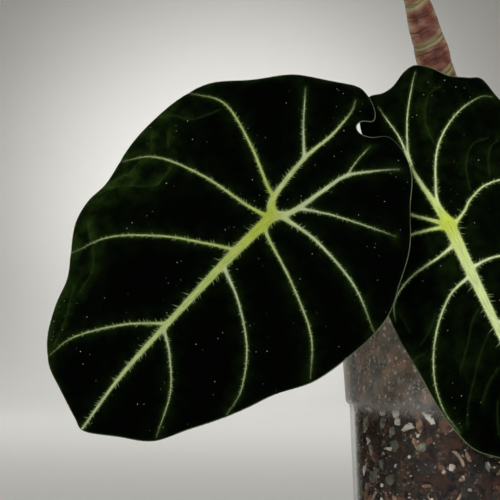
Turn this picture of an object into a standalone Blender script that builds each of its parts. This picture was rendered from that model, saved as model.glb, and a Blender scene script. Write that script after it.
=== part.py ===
"""A potted alocasia: velvet leaves on a ringed, leaning stem, in a clear pot of chunky mix.

Metres, +Z up. The origin is the middle of the pot's flat base, and the plant's best side faces -Y.
Every piece is one closed solid, and pieces that touch keep a small gap.
"""

import math
import random

import bmesh
import bpy
import numpy as np
from mathutils import Matrix, Vector

MM = 0.001
GAP = 0.3 * MM

# The pot: a body that widens upwards, a small ledge, a wider collar and a turned-out lip.
POT_HEIGHT = 96 * MM
POT_FOOT_RADIUS = 46.8 * MM
POT_LEDGE_HEIGHT = 65 * MM
POT_BODY_TOP_RADIUS = 49.3 * MM
POT_COLLAR_FOOT_RADIUS = 50.5 * MM
POT_RIM_RADIUS = 52.6 * MM
POT_LIP = 1.2 * MM
POT_WALL = 1.1 * MM
POT_FLOOR = 1.4 * MM
POT_STEPS = 48
DRAIN_COUNT = 6
DRAIN_RADIUS = 3.0 * MM
DRAIN_CIRCLE = 33 * MM

# The chunky mix, and the ring of room beside the wall where single pieces of it show.
MIX_TOP = 88 * MM
WALL_ROOM = 2.4 * MM

# The stem is straight, leans towards -X and is ringed by old leaf scars.
STEM_FOOT = Vector((1.0, 0.0, 88.0)) * MM
STEM_LEAN = math.radians(16)
STEM_BURIED = 38 * MM
STEM_HEIGHT = 126 * MM
STEM_RADIUS = 5.3 * MM
STEM_TOP_RADIUS = 3.9 * MM
SCAR_SPACING = 5.5 * MM
SCAR_SWELL = 0.35 * MM

BLADE_THICKNESS = 0.8 * MM
BLADE_CELL = 8 * MM
PRISM_DEPTH = 60 * MM

# Leaf outlines, in millimetres from the petiole's joint: along the midrib to the tip, then across.
BROAD_OUTLINE = (
    (80, -1), (79, -6), (76, -15), (73, -22.5), (67.5, -28.5), (60, -32), (52, -34.8), (45, -40.2),
    (38, -44.5), (31, -45.7), (24, -45.3), (14, -47.5), (3, -47.5), (-8, -46.5), (-18, -42.5), (-26, -34),
    (-33.5, -26.5), (-38, -20), (-44, -9.3), (-44.2, -4), (-42, 1), (-39.3, 2.9), (-36.3, 0.5), (-33.7, 0.3),
    (-32.8, 2.5),
    (-35.3, 5.7), (-38.7, 9), (-38, 15), (-34.2, 22), (-27, 27.8), (-18, 35.7), (-8, 40.4), (0, 43.8),
    (8, 44.3), (18, 42.8), (28, 40), (37, 34.5), (46, 30.3), (59, 22.8), (68.5, 17), (74.5, 8),
)
TURNED_OUTLINE = (
    (74.5, -2), (71.5, -7.5), (65.5, -13.5), (59.5, -19.2), (51, -21.7), (40, -23.3), (30, -23.9),
    (19, -24.4), (8, -24.3), (-3, -23.6), (-12, -21.5), (-21, -18.5), (-27, -16), (-27.8, -13.4),
    (-25.5, -11), (-26.5, -9.3), (-30, -10), (-36, -10.2), (-41, -8.4), (-44.3, -4.5), (-43.3, -0.5),
    (-44, 3.2), (-46.8, 8), (-47.5, 12), (-45, 16), (-41, 19.7), (-38.5, 24.6), (-36.7, 28.6), (-30, 30.4),
    (-20, 33.5), (-8, 35.5), (5, 35.2), (20, 32.5), (35, 28), (48, 21.5), (60, 13.5), (70, 4.5),
)

# Each leaf: joint (mm), the way its face looks, the way its tip points, its size and how its halves
# fall back.
LEAVES = {
    "leaf_broad": {
        "outline": BROAD_OUTLINE, "scale": 1.0, "mirror": 1, "joint": (-73.8, -53.0, 120.0),
        "face": (-0.20, -0.951, 0.238), "tip": (-0.668, -0.045, -0.742),
        "droop": 0.0011, "spread": 0.0011, "fold_minus": 0.0, "fold_plus": 0.0,
    },
    "leaf_turned": {
        "outline": TURNED_OUTLINE, "scale": 1.0, "mirror": 1, "joint": (-24.1, -52.0, 117.8),
        "face": (0.0, -0.970, 0.243), "tip": (0.401, -0.222, -0.889),
        "droop": 0.0006, "spread": 0.0, "fold_minus": 0.75, "fold_plus": 0.2,
    },
    "leaf_upper_right": {
        "outline": BROAD_OUTLINE, "scale": 0.62, "mirror": -1, "joint": (34.0, 14.0, 262.0),
        "face": (0.52, -0.55, 0.65), "tip": (0.50, -0.22, -0.84),
        "droop": 0.003, "spread": 0.002, "fold_minus": 0.1, "fold_plus": 0.1,
    },
    "leaf_upper_left": {
        "outline": BROAD_OUTLINE, "scale": 0.52, "mirror": 1, "joint": (-95.0, 12.0, 250.0),
        "face": (-0.62, -0.38, 0.69), "tip": (-0.55, -0.15, -0.82),
        "droop": 0.003, "spread": 0.002, "fold_minus": 0.1, "fold_plus": 0.1,
    },
}

# Petioles: leaf, height on the stem where it leaves, its way out, the points it passes and its radius, in mm.
PETIOLES = {
    "petiole_broad": ("leaf_broad", 103, (-0.75, -0.45, 0.8), ((-28, -17, 112.5), (-50, -31, 117)), 2.0),
    "petiole_turned": ("leaf_turned", 99, (-0.30, -0.95, 0.9), ((-8, -20, 107), (-17, -33, 112.5)), 2.0),
    "petiole_upper_right": ("leaf_upper_right", 206, (0.80, 0.35, 2.6), ((-18, 7, 234), (2, 14, 249)), 1.5),
    "petiole_upper_left": ("leaf_upper_left", 202, (-0.80, 0.25, 2.0), ((-54, 6, 225), (-70, 11, 237)), 1.4),
}
PETIOLE_HOLD = 8 * MM
PETIOLE_STEP = 5 * MM

# The new leaf is still rolled into a spear above the crown: height above its foot and radius, millimetres.
SPEAR_PROFILE = ((0, 2.2), (8, 2.9), (22, 3.3), (36, 2.7), (48, 1.5), (56, 0.4))
SPEAR_LEAN = math.radians(6)

# Roots run between the mix and the wall: (degrees round from -Y towards +X, height in mm).
ROOTS = {
    "root_short": ((-18, 63.0), (-23, 61.5), (-28, 59.8), (-34, 56.8)),
    "root_long": (
        (-31, 55.0), (-28, 53.6), (-25, 50.5), (-24, 47), (-25, 42), (-32, 35), (-44, 28), (-56, 18),
    ),
    "root_side": ((62, 58.0), (72, 50), (80, 38), (95, 30), (112, 26), (126, 15)),
    "root_back": ((168, 60.0), (180, 52), (186, 40), (200, 30), (222, 25), (238, 14)),
}
ROOT_RADIUS = 0.7 * MM

# Pieces of the mix against the wall: kind, degrees round from -Y towards +X, height, half width, half height.
WALL_PIECES = (
    ("perlite", -53, 64.0, 2.4, 2.2), ("perlite", -46, 60.0, 3.0, 1.8), ("perlite", -37, 62.7, 2.3, 2.6),
    ("perlite", -56, 53.2, 2.0, 1.2), ("pumice", -67, 44.7, 2.6, 2.6), ("pumice", -56, 44.4, 2.4, 1.8),
    ("bark", -66, 56.0, 4.2, 2.4), ("perlite", 30, 55.0, 2.6, 2.1), ("pumice", 48, 40.0, 3.0, 2.4),
    ("bark", 96, 60.0, 4.4, 2.6), ("perlite", 148, 56.0, 2.8, 2.2), ("bark", 150, 36.0, 4.6, 2.8),
    ("pumice", 212, 58.0, 3.0, 2.3), ("perlite", 262, 34.0, 2.5, 2.0),
)
WALL_PIECE_DEPTH = 0.8 * MM

# Pieces lying on top: two rings that leave the +X side free. Half sizes of each kind, in millimetres.
TOP_HALF_SIZES = {
    "bark": (6.2, 4.2, 2.2), "perlite": (2.8, 2.4, 2.1),
    "pumice": (4.0, 3.4, 2.8), "charcoal": (3.8, 3.0, 2.4),
}
TOP_RINGS = (
    (
        41.5 * MM, 40, 320,
        ("bark", "perlite", "pumice", "bark", "charcoal", "perlite", "bark", "pumice", "bark"),
    ),
    (22.5 * MM, 50, 310, ("pumice", "bark", "perlite", "charcoal", "bark")),
)
SEED = 7

# Slot: colour (linear), roughness, alpha.
SLOTS = {
    "leaf_blade": ((0.004, 0.010, 0.004), 0.75, 1.0),
    "petiole": ((0.25, 0.30, 0.14), 0.50, 1.0),
    "stem": ((0.22, 0.10, 0.075), 0.45, 1.0),
    "clear_plastic": ((0.90, 0.91, 0.90), 0.12, 0.25),
    "mix": ((0.035, 0.026, 0.021), 0.95, 1.0),
    "perlite": ((0.72, 0.68, 0.62), 0.90, 1.0),
    "pumice": ((0.17, 0.19, 0.14), 0.95, 1.0),
    "bark": ((0.075, 0.032, 0.021), 0.85, 1.0),
    "charcoal": ((0.010, 0.010, 0.011), 0.80, 1.0),
    "root": ((0.40, 0.27, 0.18), 0.60, 1.0),
}


def clear_scene():
    for found in list(bpy.data.objects):
        bpy.data.objects.remove(found, do_unlink=True)


def new_collection(name):
    made = bpy.data.collections.new(name)
    bpy.context.scene.collection.children.link(made)
    return made


def slot_material(slot):
    """One Principled material for each slot, made the first time it is asked for."""
    if slot in bpy.data.materials:
        return bpy.data.materials[slot]
    colour, roughness, alpha = SLOTS[slot]
    made = bpy.data.materials.new(slot)
    made.use_nodes = True
    shader = made.node_tree.nodes["Principled BSDF"]
    shader.inputs["Base Color"].default_value = (*colour, 1.0)
    shader.inputs["Roughness"].default_value = roughness
    shader.inputs["Alpha"].default_value = alpha
    return made


def add_object(name, data, slot=None, parent=None):
    """Puts mesh or curve data into the plant's collection, or with no slot into the cutters' one."""
    made = bpy.data.objects.new(name, data)
    if slot:
        PARTS.objects.link(made)
        data.materials.append(slot_material(slot))
    else:
        CUTTERS.objects.link(made)
        made.hide_render = True
        made.display_type = "WIRE"
    made.parent = parent
    return made


def smooth_through(points, per_span, closed=False):
    """Points along a Catmull-Rom curve that passes through the given ones."""
    given = np.array(points, float)
    if closed:
        ends = np.vstack([given[-1], given, given[0], given[1]])
    else:
        ends = np.vstack([2 * given[0] - given[1], given, 2 * given[-1] - given[-2]])
    rows = []
    for before, start, stop, after in zip(ends, ends[1:], ends[2:], ends[3:]):
        for t in np.arange(per_span) / per_span:
            bend = 2 * before - 5 * start + 4 * stop - after
            twist = 3 * (start - stop) + after - before
            rows.append(0.5 * (2 * start + (stop - before) * t + bend * t**2 + twist * t**3))
    if not closed:
        rows.append(given[-1])
    return np.array(rows)


def even_steps(points, step):
    """The same line with its points spaced evenly, about one step apart."""
    runs = np.linalg.norm(np.diff(points, axis=0), axis=1)
    travelled = np.concatenate([[0.0], np.cumsum(runs)])
    count = max(3, round(travelled[-1] / step))
    wanted = np.linspace(0, travelled[-1], count + 1)
    return np.stack([np.interp(wanted, travelled, points[:, axis]) for axis in range(3)], axis=1)


def tube(name, points, radii, slot, resolution=2):
    """A round tube along the points, capped at both ends, with a radius at each point."""
    curve = bpy.data.curves.new(name, "CURVE")
    curve.dimensions = "3D"
    curve.bevel_depth = MM
    curve.bevel_resolution = resolution
    curve.use_fill_caps = True
    spline = curve.splines.new("POLY")
    spline.points.add(len(points) - 1)
    for knot, place, radius in zip(spline.points, points, radii):
        knot.co = (*place, 1.0)
        knot.radius = radius / MM
    return add_object(name, curve, slot)


def turned(name, profile, slot, steps=POT_STEPS):
    """A solid of revolution round Z. The profile runs down the outer side and back up the inner one."""
    mesh = bpy.data.meshes.new(name)
    places = [(radius, 0.0, height) for radius, height in profile]
    mesh.from_pydata(places, [(i, i + 1) for i in range(len(places) - 1)], [])
    made = add_object(name, mesh, slot)
    screw = made.modifiers.new("turn", "SCREW")
    screw.axis = "Z"
    screw.steps = steps
    screw.render_steps = steps
    screw.use_merge_vertices = True
    screw.merge_threshold = 0.00001
    screw.use_smooth_shade = True
    return made


def cut_by(target, cutter, operation="DIFFERENCE"):
    boolean = target.modifiers.new("cut", "BOOLEAN")
    boolean.operation = operation
    boolean.solver = "EXACT"
    boolean.object = cutter


def wall_radius(height):
    """The pot's outer radius at a height."""
    if height < POT_LEDGE_HEIGHT:
        return POT_FOOT_RADIUS + (POT_BODY_TOP_RADIUS - POT_FOOT_RADIUS) * height / POT_LEDGE_HEIGHT
    rise = (height - POT_LEDGE_HEIGHT) / (POT_HEIGHT - POT_LEDGE_HEIGHT)
    return POT_COLLAR_FOOT_RADIUS + (POT_RIM_RADIUS - POT_COLLAR_FOOT_RADIUS) * rise


def add_pot():
    ledge_slope = 1.0 * MM
    edge = 0.6 * MM
    corner = 2.0 * MM
    lip_depth = 2.6 * MM
    inner_ledge = POT_LEDGE_HEIGHT + POT_WALL
    outer = [
        (POT_RIM_RADIUS + POT_LIP - edge, POT_HEIGHT),
        (POT_RIM_RADIUS + POT_LIP, POT_HEIGHT - edge),
        (POT_RIM_RADIUS + POT_LIP, POT_HEIGHT - lip_depth),
        (wall_radius(POT_HEIGHT - lip_depth), POT_HEIGHT - lip_depth - edge),
        (POT_COLLAR_FOOT_RADIUS, POT_LEDGE_HEIGHT + ledge_slope),
        (POT_BODY_TOP_RADIUS, POT_LEDGE_HEIGHT),
        (wall_radius(corner), corner),
        (wall_radius(0) - edge, edge),
        (wall_radius(0) - corner, 0.0),
        (0.0, 0.0),
    ]
    inner = [
        (0.0, POT_FLOOR),
        (wall_radius(0) - POT_WALL - corner, POT_FLOOR),
        (wall_radius(POT_FLOOR + edge) - POT_WALL, POT_FLOOR + edge),
        (POT_BODY_TOP_RADIUS - POT_WALL, POT_LEDGE_HEIGHT),
        (POT_COLLAR_FOOT_RADIUS - POT_WALL, inner_ledge + ledge_slope),
        (POT_RIM_RADIUS - POT_WALL, POT_HEIGHT - edge),
        (POT_RIM_RADIUS - POT_WALL + edge, POT_HEIGHT),
    ]
    pot = turned("pot", outer + inner + outer[:1], "clear_plastic")
    for number in range(DRAIN_COUNT):
        angle = 2 * math.pi * number / DRAIN_COUNT
        hole = bpy.data.meshes.new("drain")
        shape = bmesh.new()
        bmesh.ops.create_cone(
            shape, cap_ends=True, segments=16, radius1=DRAIN_RADIUS, radius2=DRAIN_RADIUS, depth=4 * POT_FLOOR
        )
        shape.to_mesh(hole)
        shape.free()
        cutter = add_object(f"drain_cutter_{number}", hole)
        cutter.location = (DRAIN_CIRCLE * math.cos(angle), DRAIN_CIRCLE * math.sin(angle), POT_FLOOR / 2)
        cut_by(pot, cutter)


def mix_radius(height):
    return wall_radius(height) - POT_WALL - WALL_ROOM


def stem_axis():
    return Vector((-math.sin(STEM_LEAN), 0.0, math.cos(STEM_LEAN)))


def stem_point(height):
    """The point of the stem's axis at a height above the pot's base."""
    along = (height - STEM_FOOT.z) / math.cos(STEM_LEAN)
    return STEM_FOOT + stem_axis() * along


def add_mix():
    """The chunky mix as one turned solid, with a hole for the buried foot of the stem."""
    bottom = POT_FLOOR + GAP
    chamfer = 1.5 * MM
    profile = [
        (0.0, MIX_TOP),
        (mix_radius(MIX_TOP) - chamfer, MIX_TOP),
        (mix_radius(MIX_TOP), MIX_TOP - chamfer),
        (mix_radius(POT_LEDGE_HEIGHT + chamfer), POT_LEDGE_HEIGHT + 2 * chamfer),
        (mix_radius(POT_LEDGE_HEIGHT - MM), POT_LEDGE_HEIGHT),
        (mix_radius(bottom), bottom + chamfer),
        (mix_radius(bottom) - chamfer, bottom),
        (0.0, bottom),
    ]
    mix = turned("mix", profile, "mix")
    hole = bpy.data.meshes.new("stem_hole")
    shape = bmesh.new()
    radius = STEM_RADIUS + 2 * GAP
    length = STEM_BURIED + 4 * GAP
    bmesh.ops.create_cone(shape, cap_ends=True, segments=24, radius1=radius, radius2=radius, depth=2 * length)
    shape.to_mesh(hole)
    shape.free()
    cutter = add_object("stem_hole_cutter", hole)
    cutter.rotation_euler = (0.0, -STEM_LEAN, 0.0)
    cutter.location = STEM_FOOT
    cut_by(mix, cutter)


def stem_radius(along):
    """The stem's radius at a distance above the mix: even, then tapering, with a swelling at each scar."""
    if along < 0:
        return STEM_RADIUS
    taper = max(0.0, min(1.0, (along - 88 * MM) / (22 * MM)))
    plain = STEM_RADIUS + (STEM_TOP_RADIUS - STEM_RADIUS) * taper * taper * (3 - 2 * taper)
    ring = 0.5 + 0.5 * math.cos(2 * math.pi * along / SCAR_SPACING)
    return plain - SCAR_SWELL + 2 * SCAR_SWELL * ring**2


def add_stem():
    rings = np.linspace(-STEM_BURIED, STEM_HEIGHT, 90)
    points = [STEM_FOOT + stem_axis() * along for along in rings]
    tube("stem", points, [stem_radius(along) for along in rings], "stem", resolution=4)


def leaf_matrix(leaf):
    """The leaf's frame: X along the midrib, Y across, Z out of its face, at the petiole's joint."""
    face = Vector(leaf["face"]).normalized()
    tip = Vector(leaf["tip"])
    along = (tip - face * tip.dot(face)).normalized()
    across = face.cross(along)
    turn = Matrix((along, across, face)).transposed().to_4x4()
    return Matrix.Translation(Vector(leaf["joint"]) * MM) @ turn


def blade_rise(leaf, along, across):
    """How far the blade falls back from its flat frame, in millimetres: domed, and folded at the midrib."""
    soft = 8.0
    fold = leaf["fold_minus"] if across < 0 else leaf["fold_plus"]
    crease = math.hypot(across, soft) - soft
    return -(leaf["droop"] * along**2 + leaf["spread"] * across**2 + fold * crease)


def leaf_outline(leaf):
    given = np.array(leaf["outline"], float) * (leaf["scale"], leaf["scale"] * leaf["mirror"])
    line = smooth_through(given, 2, closed=True)
    return line[:: leaf["mirror"]]


def add_blade(name, leaf):
    """A thin domed sheet, cut to the leaf's outline by an upright prism."""
    frame = bpy.data.objects.new(f"{name}_frame", None)
    PARTS.objects.link(frame)
    frame.matrix_world = leaf_matrix(leaf)
    line = leaf_outline(leaf)

    flat = bpy.data.curves.new(name, "CURVE")
    flat.dimensions = "2D"
    flat.fill_mode = "BOTH"
    flat.extrude = PRISM_DEPTH / 2
    spline = flat.splines.new("POLY")
    spline.points.add(len(line) - 1)
    spline.use_cyclic_u = True
    for knot, (along, across) in zip(spline.points, line):
        knot.co = (along * MM, across * MM, 0.0, 1.0)
    drawn = add_object(f"{name}_outline", flat)
    bpy.context.view_layer.update()
    solid = bpy.data.meshes.new_from_object(drawn.evaluated_get(bpy.context.evaluated_depsgraph_get()))
    bpy.data.objects.remove(drawn)
    shape = bmesh.new()
    shape.from_mesh(solid)
    bmesh.ops.remove_doubles(shape, verts=shape.verts, dist=0.00001)
    bmesh.ops.recalc_face_normals(shape, faces=shape.faces)
    shape.to_mesh(solid)
    shape.free()
    prism = add_object(f"{name}_prism", solid, parent=frame)

    low, high = line.min(0) - 3.0, line.max(0) + 3.0
    middle, half = (low + high) / 2, (high - low) / 2
    cells = np.maximum(4, np.round(2 * half * MM / BLADE_CELL)).astype(int)
    sheet = bpy.data.meshes.new(name)
    shape = bmesh.new()
    bmesh.ops.create_grid(shape, x_segments=int(cells[0]), y_segments=int(cells[1]), size=1.0)
    for corner in shape.verts:
        along = middle[0] + half[0] * corner.co.x
        across = middle[1] + half[1] * corner.co.y
        corner.co = Vector((along, across, blade_rise(leaf, along, across))) * MM
    shape.to_mesh(sheet)
    shape.free()
    blade = add_object(name, sheet, "leaf_blade", parent=frame)
    skin = blade.modifiers.new("thickness", "SOLIDIFY")
    skin.thickness = BLADE_THICKNESS
    skin.offset = -1.0
    cut_by(blade, prism, "INTERSECT")


def add_petiole(name, leaf_name, height, way_out, passing, radius):
    """A leaf's stalk: out of the stem, smoothly through its points, then square on to the blade's back."""
    frame = leaf_matrix(LEAVES[leaf_name])
    face = frame.to_3x3().col[2]
    joint = frame.translation
    foot_radius = radius * MM * 1.25
    level = Vector((way_out[0], way_out[1], 0.0)).normalized()
    first = stem_point(height * MM) + level * (STEM_RADIUS + SCAR_SWELL + foot_radius)
    second = first + Vector(way_out).normalized() * 7 * MM
    last = joint - face * (BLADE_THICKNESS + 2 * GAP)
    held = joint - face * PETIOLE_HOLD
    given = [first, second, *(Vector(point) * MM for point in passing), held, last]
    points = even_steps(smooth_through(given, 8), PETIOLE_STEP)
    middle = radius * MM
    shares = np.linspace(0, 1, len(points))
    radii = np.interp(shares, (0, 0.15, 0.5, 1), (foot_radius, middle, middle, 0.8 * middle))
    tube(name, points, radii, "petiole")


def add_spear():
    foot = STEM_FOOT + stem_axis() * (STEM_HEIGHT + GAP)
    lean = STEM_LEAN
    points = []
    place = foot.copy()
    profile = smooth_through([(height, radius, 0) for height, radius in SPEAR_PROFILE], 3)
    before = 0.0
    for height, _, _ in profile:
        step = (height - before) * MM
        lean += (SPEAR_LEAN - STEM_LEAN) * step / (30 * MM) if height < 30 else 0.0
        place = place + Vector((-math.sin(lean), 0.0, math.cos(lean))) * step
        points.append(place)
        before = height
    tube("new_leaf_spear", points, [radius * MM for _, radius, _ in profile], "petiole")


def round_place(degrees, radius, height):
    """A point round the pot: 0 degrees is -Y, and 90 is +X."""
    angle = math.radians(degrees)
    return Vector((radius * math.sin(angle), -radius * math.cos(angle), height))


def add_root(name, passing):
    given = [
        round_place(degrees, wall_radius(height * MM) - POT_WALL - WALL_ROOM / 2, height * MM)
        for degrees, height in passing
    ]
    points = even_steps(smooth_through(given, 6), 3 * MM)
    thin_end = 0.55
    radii = ROOT_RADIUS * np.linspace(1, thin_end, len(points))
    tube(name, points, radii, "root")


def lump(name, slot, place, half_sizes, turn, dice):
    """A broken piece: a small sphere pushed about at random, squashed to its sizes and turned."""
    mesh = bpy.data.meshes.new(name)
    shape = bmesh.new()
    bmesh.ops.create_icosphere(shape, subdivisions=2, radius=1.0)
    for corner in shape.verts:
        corner.co *= dice.uniform(0.82, 1.0)
    bmesh.ops.scale(shape, vec=half_sizes, verts=shape.verts)
    shape.to_mesh(mesh)
    shape.free()
    made = add_object(name, mesh, slot)
    made.rotation_euler = (0.0, 0.0, turn)
    made.location = place
    return made


def add_wall_pieces(dice):
    counts = {}
    for kind, degrees, height, half_width, half_height in WALL_PIECES:
        counts[kind] = counts.get(kind, 0) + 1
        radius = wall_radius(height * MM) - POT_WALL - WALL_ROOM / 2
        place = round_place(degrees, radius, height * MM)
        sizes = (half_width * MM, WALL_PIECE_DEPTH, half_height * MM)
        lump(f"{kind}_wall_{counts[kind]}", kind, place, sizes, math.radians(degrees), dice)


def add_top_pieces(dice):
    counts = {}
    for radius, first, last, kinds in TOP_RINGS:
        for kind, degrees in zip(kinds, np.linspace(first, last, len(kinds))):
            counts[kind] = counts.get(kind, 0) + 1
            sizes = Vector(TOP_HALF_SIZES[kind]) * MM
            angle = math.radians(degrees)
            place = (radius * math.cos(angle), radius * math.sin(angle), MIX_TOP + sizes.z + GAP)
            turn = angle + math.pi / 2
            lump(f"{kind}_top_{counts[kind]}", kind, place, sizes, turn, dice)


def build():
    add_pot()
    add_mix()
    add_stem()
    for name, leaf in LEAVES.items():
        add_blade(name, leaf)
    for name, (leaf_name, height, way_out, passing, radius) in PETIOLES.items():
        add_petiole(name, leaf_name, height, way_out, passing, radius)
    add_spear()
    for name, passing in ROOTS.items():
        add_root(name, passing)
    dice = random.Random(SEED)
    add_wall_pieces(dice)
    add_top_pieces(dice)


clear_scene()
PARTS = new_collection("potted_alocasia")
CUTTERS = new_collection("cutters")
build()
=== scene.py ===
"""A potted alocasia: the finished surfaces and materials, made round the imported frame.

Metres, +Z up. Every piece is a surface worked out as whole arrays, placed in its mesh, and rides on the
one body. Lengths in the tables are millimetres.
"""

import math

import bpy
import numpy as np
from bpy.props import FloatProperty, FloatVectorProperty, IntProperty, PointerProperty
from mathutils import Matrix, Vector


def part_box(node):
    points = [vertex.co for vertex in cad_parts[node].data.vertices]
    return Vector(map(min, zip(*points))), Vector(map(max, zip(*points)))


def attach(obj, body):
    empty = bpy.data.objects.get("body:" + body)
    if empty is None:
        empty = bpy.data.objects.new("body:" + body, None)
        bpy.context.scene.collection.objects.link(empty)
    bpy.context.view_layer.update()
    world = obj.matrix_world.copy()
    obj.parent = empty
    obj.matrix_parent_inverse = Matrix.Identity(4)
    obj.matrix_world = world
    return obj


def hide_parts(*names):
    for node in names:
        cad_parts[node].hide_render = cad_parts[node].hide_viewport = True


bl_info = {
    "name": "Potted Alocasia",
    "version": (1, 0, 0),
    "blender": (4, 5, 0),
    "location": "3D View > Sidebar > Alocasia",
    "description": "Velvet leaves with pale veins on a ringed stem, in a clear pot of chunky mix",
    "category": "Add Mesh",
}

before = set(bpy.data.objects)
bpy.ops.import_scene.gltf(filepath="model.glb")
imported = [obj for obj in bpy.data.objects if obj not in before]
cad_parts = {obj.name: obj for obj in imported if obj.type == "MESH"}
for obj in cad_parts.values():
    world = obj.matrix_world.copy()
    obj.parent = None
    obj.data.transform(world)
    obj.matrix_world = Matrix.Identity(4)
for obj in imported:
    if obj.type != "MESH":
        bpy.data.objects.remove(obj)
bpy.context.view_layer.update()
BODY = "root"
MM = 0.001

POT_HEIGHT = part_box("pot")[1][2] / MM
MIX_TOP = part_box("mix")[1][2] / MM

# The pot's walls, as the frame has them.
FOOT_RADIUS = 46.8
BODY_TOP_RADIUS = 49.3
LEDGE_HEIGHT = 65.0
COLLAR_FOOT_RADIUS = 50.5
RIM_RADIUS = 52.6
WALL = 1.1
LIP = 1.2
FLOOR = 1.4

# The stem's axis: its foot at the top of the mix, and its lean towards -X.
STEM_FOOT = np.array([1.0, 0.0, 88.0])
STEM_LEAN = math.radians(16)
STEM_AXIS = np.array([-math.sin(STEM_LEAN), 0.0, math.cos(STEM_LEAN)])
STEM_SIDE = np.array([math.cos(STEM_LEAN), 0.0, math.sin(STEM_LEAN)])
STEM_RADIUS = 5.3
STEM_TOP_RADIUS = 3.9
STEM_HEIGHT = 126.0

# Leaf outlines: from the petiole's joint along the midrib to the tip, then across.
BROAD_OUTLINE = (
    (80, -1), (79, -6), (76, -15), (73, -22.5), (67.5, -28.5), (60, -32), (52, -34.8), (45, -40.2),
    (38, -44.5), (31, -45.7), (24, -45.3), (14, -47.5), (3, -47.5), (-8, -46.5), (-18, -42.5), (-26, -34),
    (-33.5, -26.5), (-38, -20), (-44, -9.3), (-44.2, -4), (-42, 1), (-39.3, 2.9), (-36.9, 0.8),
    (-34.8, 0.8), (-34.0, 2.9), (-35.3, 5.7), (-38.7, 9), (-38, 15), (-34.2, 22), (-27, 27.8), (-18, 35.7),
    (-8, 40.4), (0, 43.8), (8, 44.3), (18, 42.8), (28, 40), (37, 34.5), (46, 30.3), (59, 22.8), (68.5, 17),
    (74.5, 8),
)
TURNED_OUTLINE = (
    (74.5, -2), (71.5, -7.5), (65.5, -13.5), (59.5, -19.2), (51, -21.7), (40, -23.3), (30, -23.9),
    (19, -24.4), (8, -24.3), (-3, -23.6), (-12, -21.5), (-21, -18.5), (-27, -16), (-27.8, -13.4),
    (-25.5, -11), (-26.5, -9.3), (-30, -10), (-36, -10.2), (-41, -8.4), (-44.3, -4.5), (-43.6, -0.5),
    (-44.5, 3.3), (-47.4, 8.2), (-48.2, 12.3), (-45.8, 16.4), (-41.7, 20.1), (-39.3, 25.1), (-37.5, 29.1),
    (-30.4, 30.8), (-20, 33.5), (-8, 35.5), (5, 35.2), (20, 32.5), (35, 28), (48, 21.5), (60, 13.5),
    (70, 4.5),
)

# Veins: half width at the base and at the end, longest hair, yellowness, then the points it passes.
BROAD_VEINS = (
    (1.56, 0.30, 3.2, 0.9, ((0, 0), (16, -1.2), (37, -2.1), (60, -3), (80, -2))),
    (0.40, 0.10, 1.5, 0.6, ((1, -1), (2.4, -9), (3.8, -23.5), (8.2, -38.7), (16, -47))),
    (0.35, 0.10, 1.6, 0.7, ((14, -1.5), (18, -9.5), (24.5, -21), (34.2, -33), (45.3, -40))),
    (0.30, 0.10, 1.6, 0.5, ((42, -2.5), (50.6, -12.5), (62.5, -21.6), (71.3, -24.4))),
    (0.47, 0.10, 1.6, 0.8, (
        (-0.5, -0.5), (-4.2, -3.7), (-6, -7.8), (-12, -20.3), (-16.2, -34.6), (-12, -45.4),
    )),
    (0.82, 0.14, 1.8, 0.4, (
        (-0.5, -0.5), (-4.2, -3.4), (-18.6, -4.6), (-29, -3.2), (-36.5, -3.5), (-41, -5.4),
    )),
    (0.30, 0.10, 1.4, 0.0, ((-18.6, -4.8), (-26, -12), (-34.7, -19.3))),
    (0.78, 0.12, 1.6, 0.0, (
        (-0.5, 0.5), (-4.6, 3.6), (-14.8, 6.1), (-22.3, 8.2), (-29, 14), (-33.3, 18.4),
    )),
    (0.11, 0.05, 0.7, 0.0, ((-22.3, 8.2), (-27, 7.5), (-33, 7.3))),
    (0.27, 0.08, 1.4, 0.0, ((-6.6, 4.7), (-8.4, 7.7), (-12, 15), (-18, 30.5))),
    (0.46, 0.10, 1.6, 0.0, ((-1.7, 2.4), (-1.9, 4.5), (-2.6, 15), (0, 31), (6.2, 44))),
    (0.35, 0.10, 1.5, 0.4, ((3.5, 0.5), (5.5, 3.7), (10.6, 17), (18, 31), (27.3, 39.2))),
    (0.32, 0.08, 1.5, 0.0, ((20, 0), (24.6, 9.7), (32.5, 20), (42, 26.4), (50, 27.6))),
    (0.27, 0.08, 1.4, 0.0, ((44.2, -1.5), (48, 4), (56, 11.6), (67.7, 16.7))),
)
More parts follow.
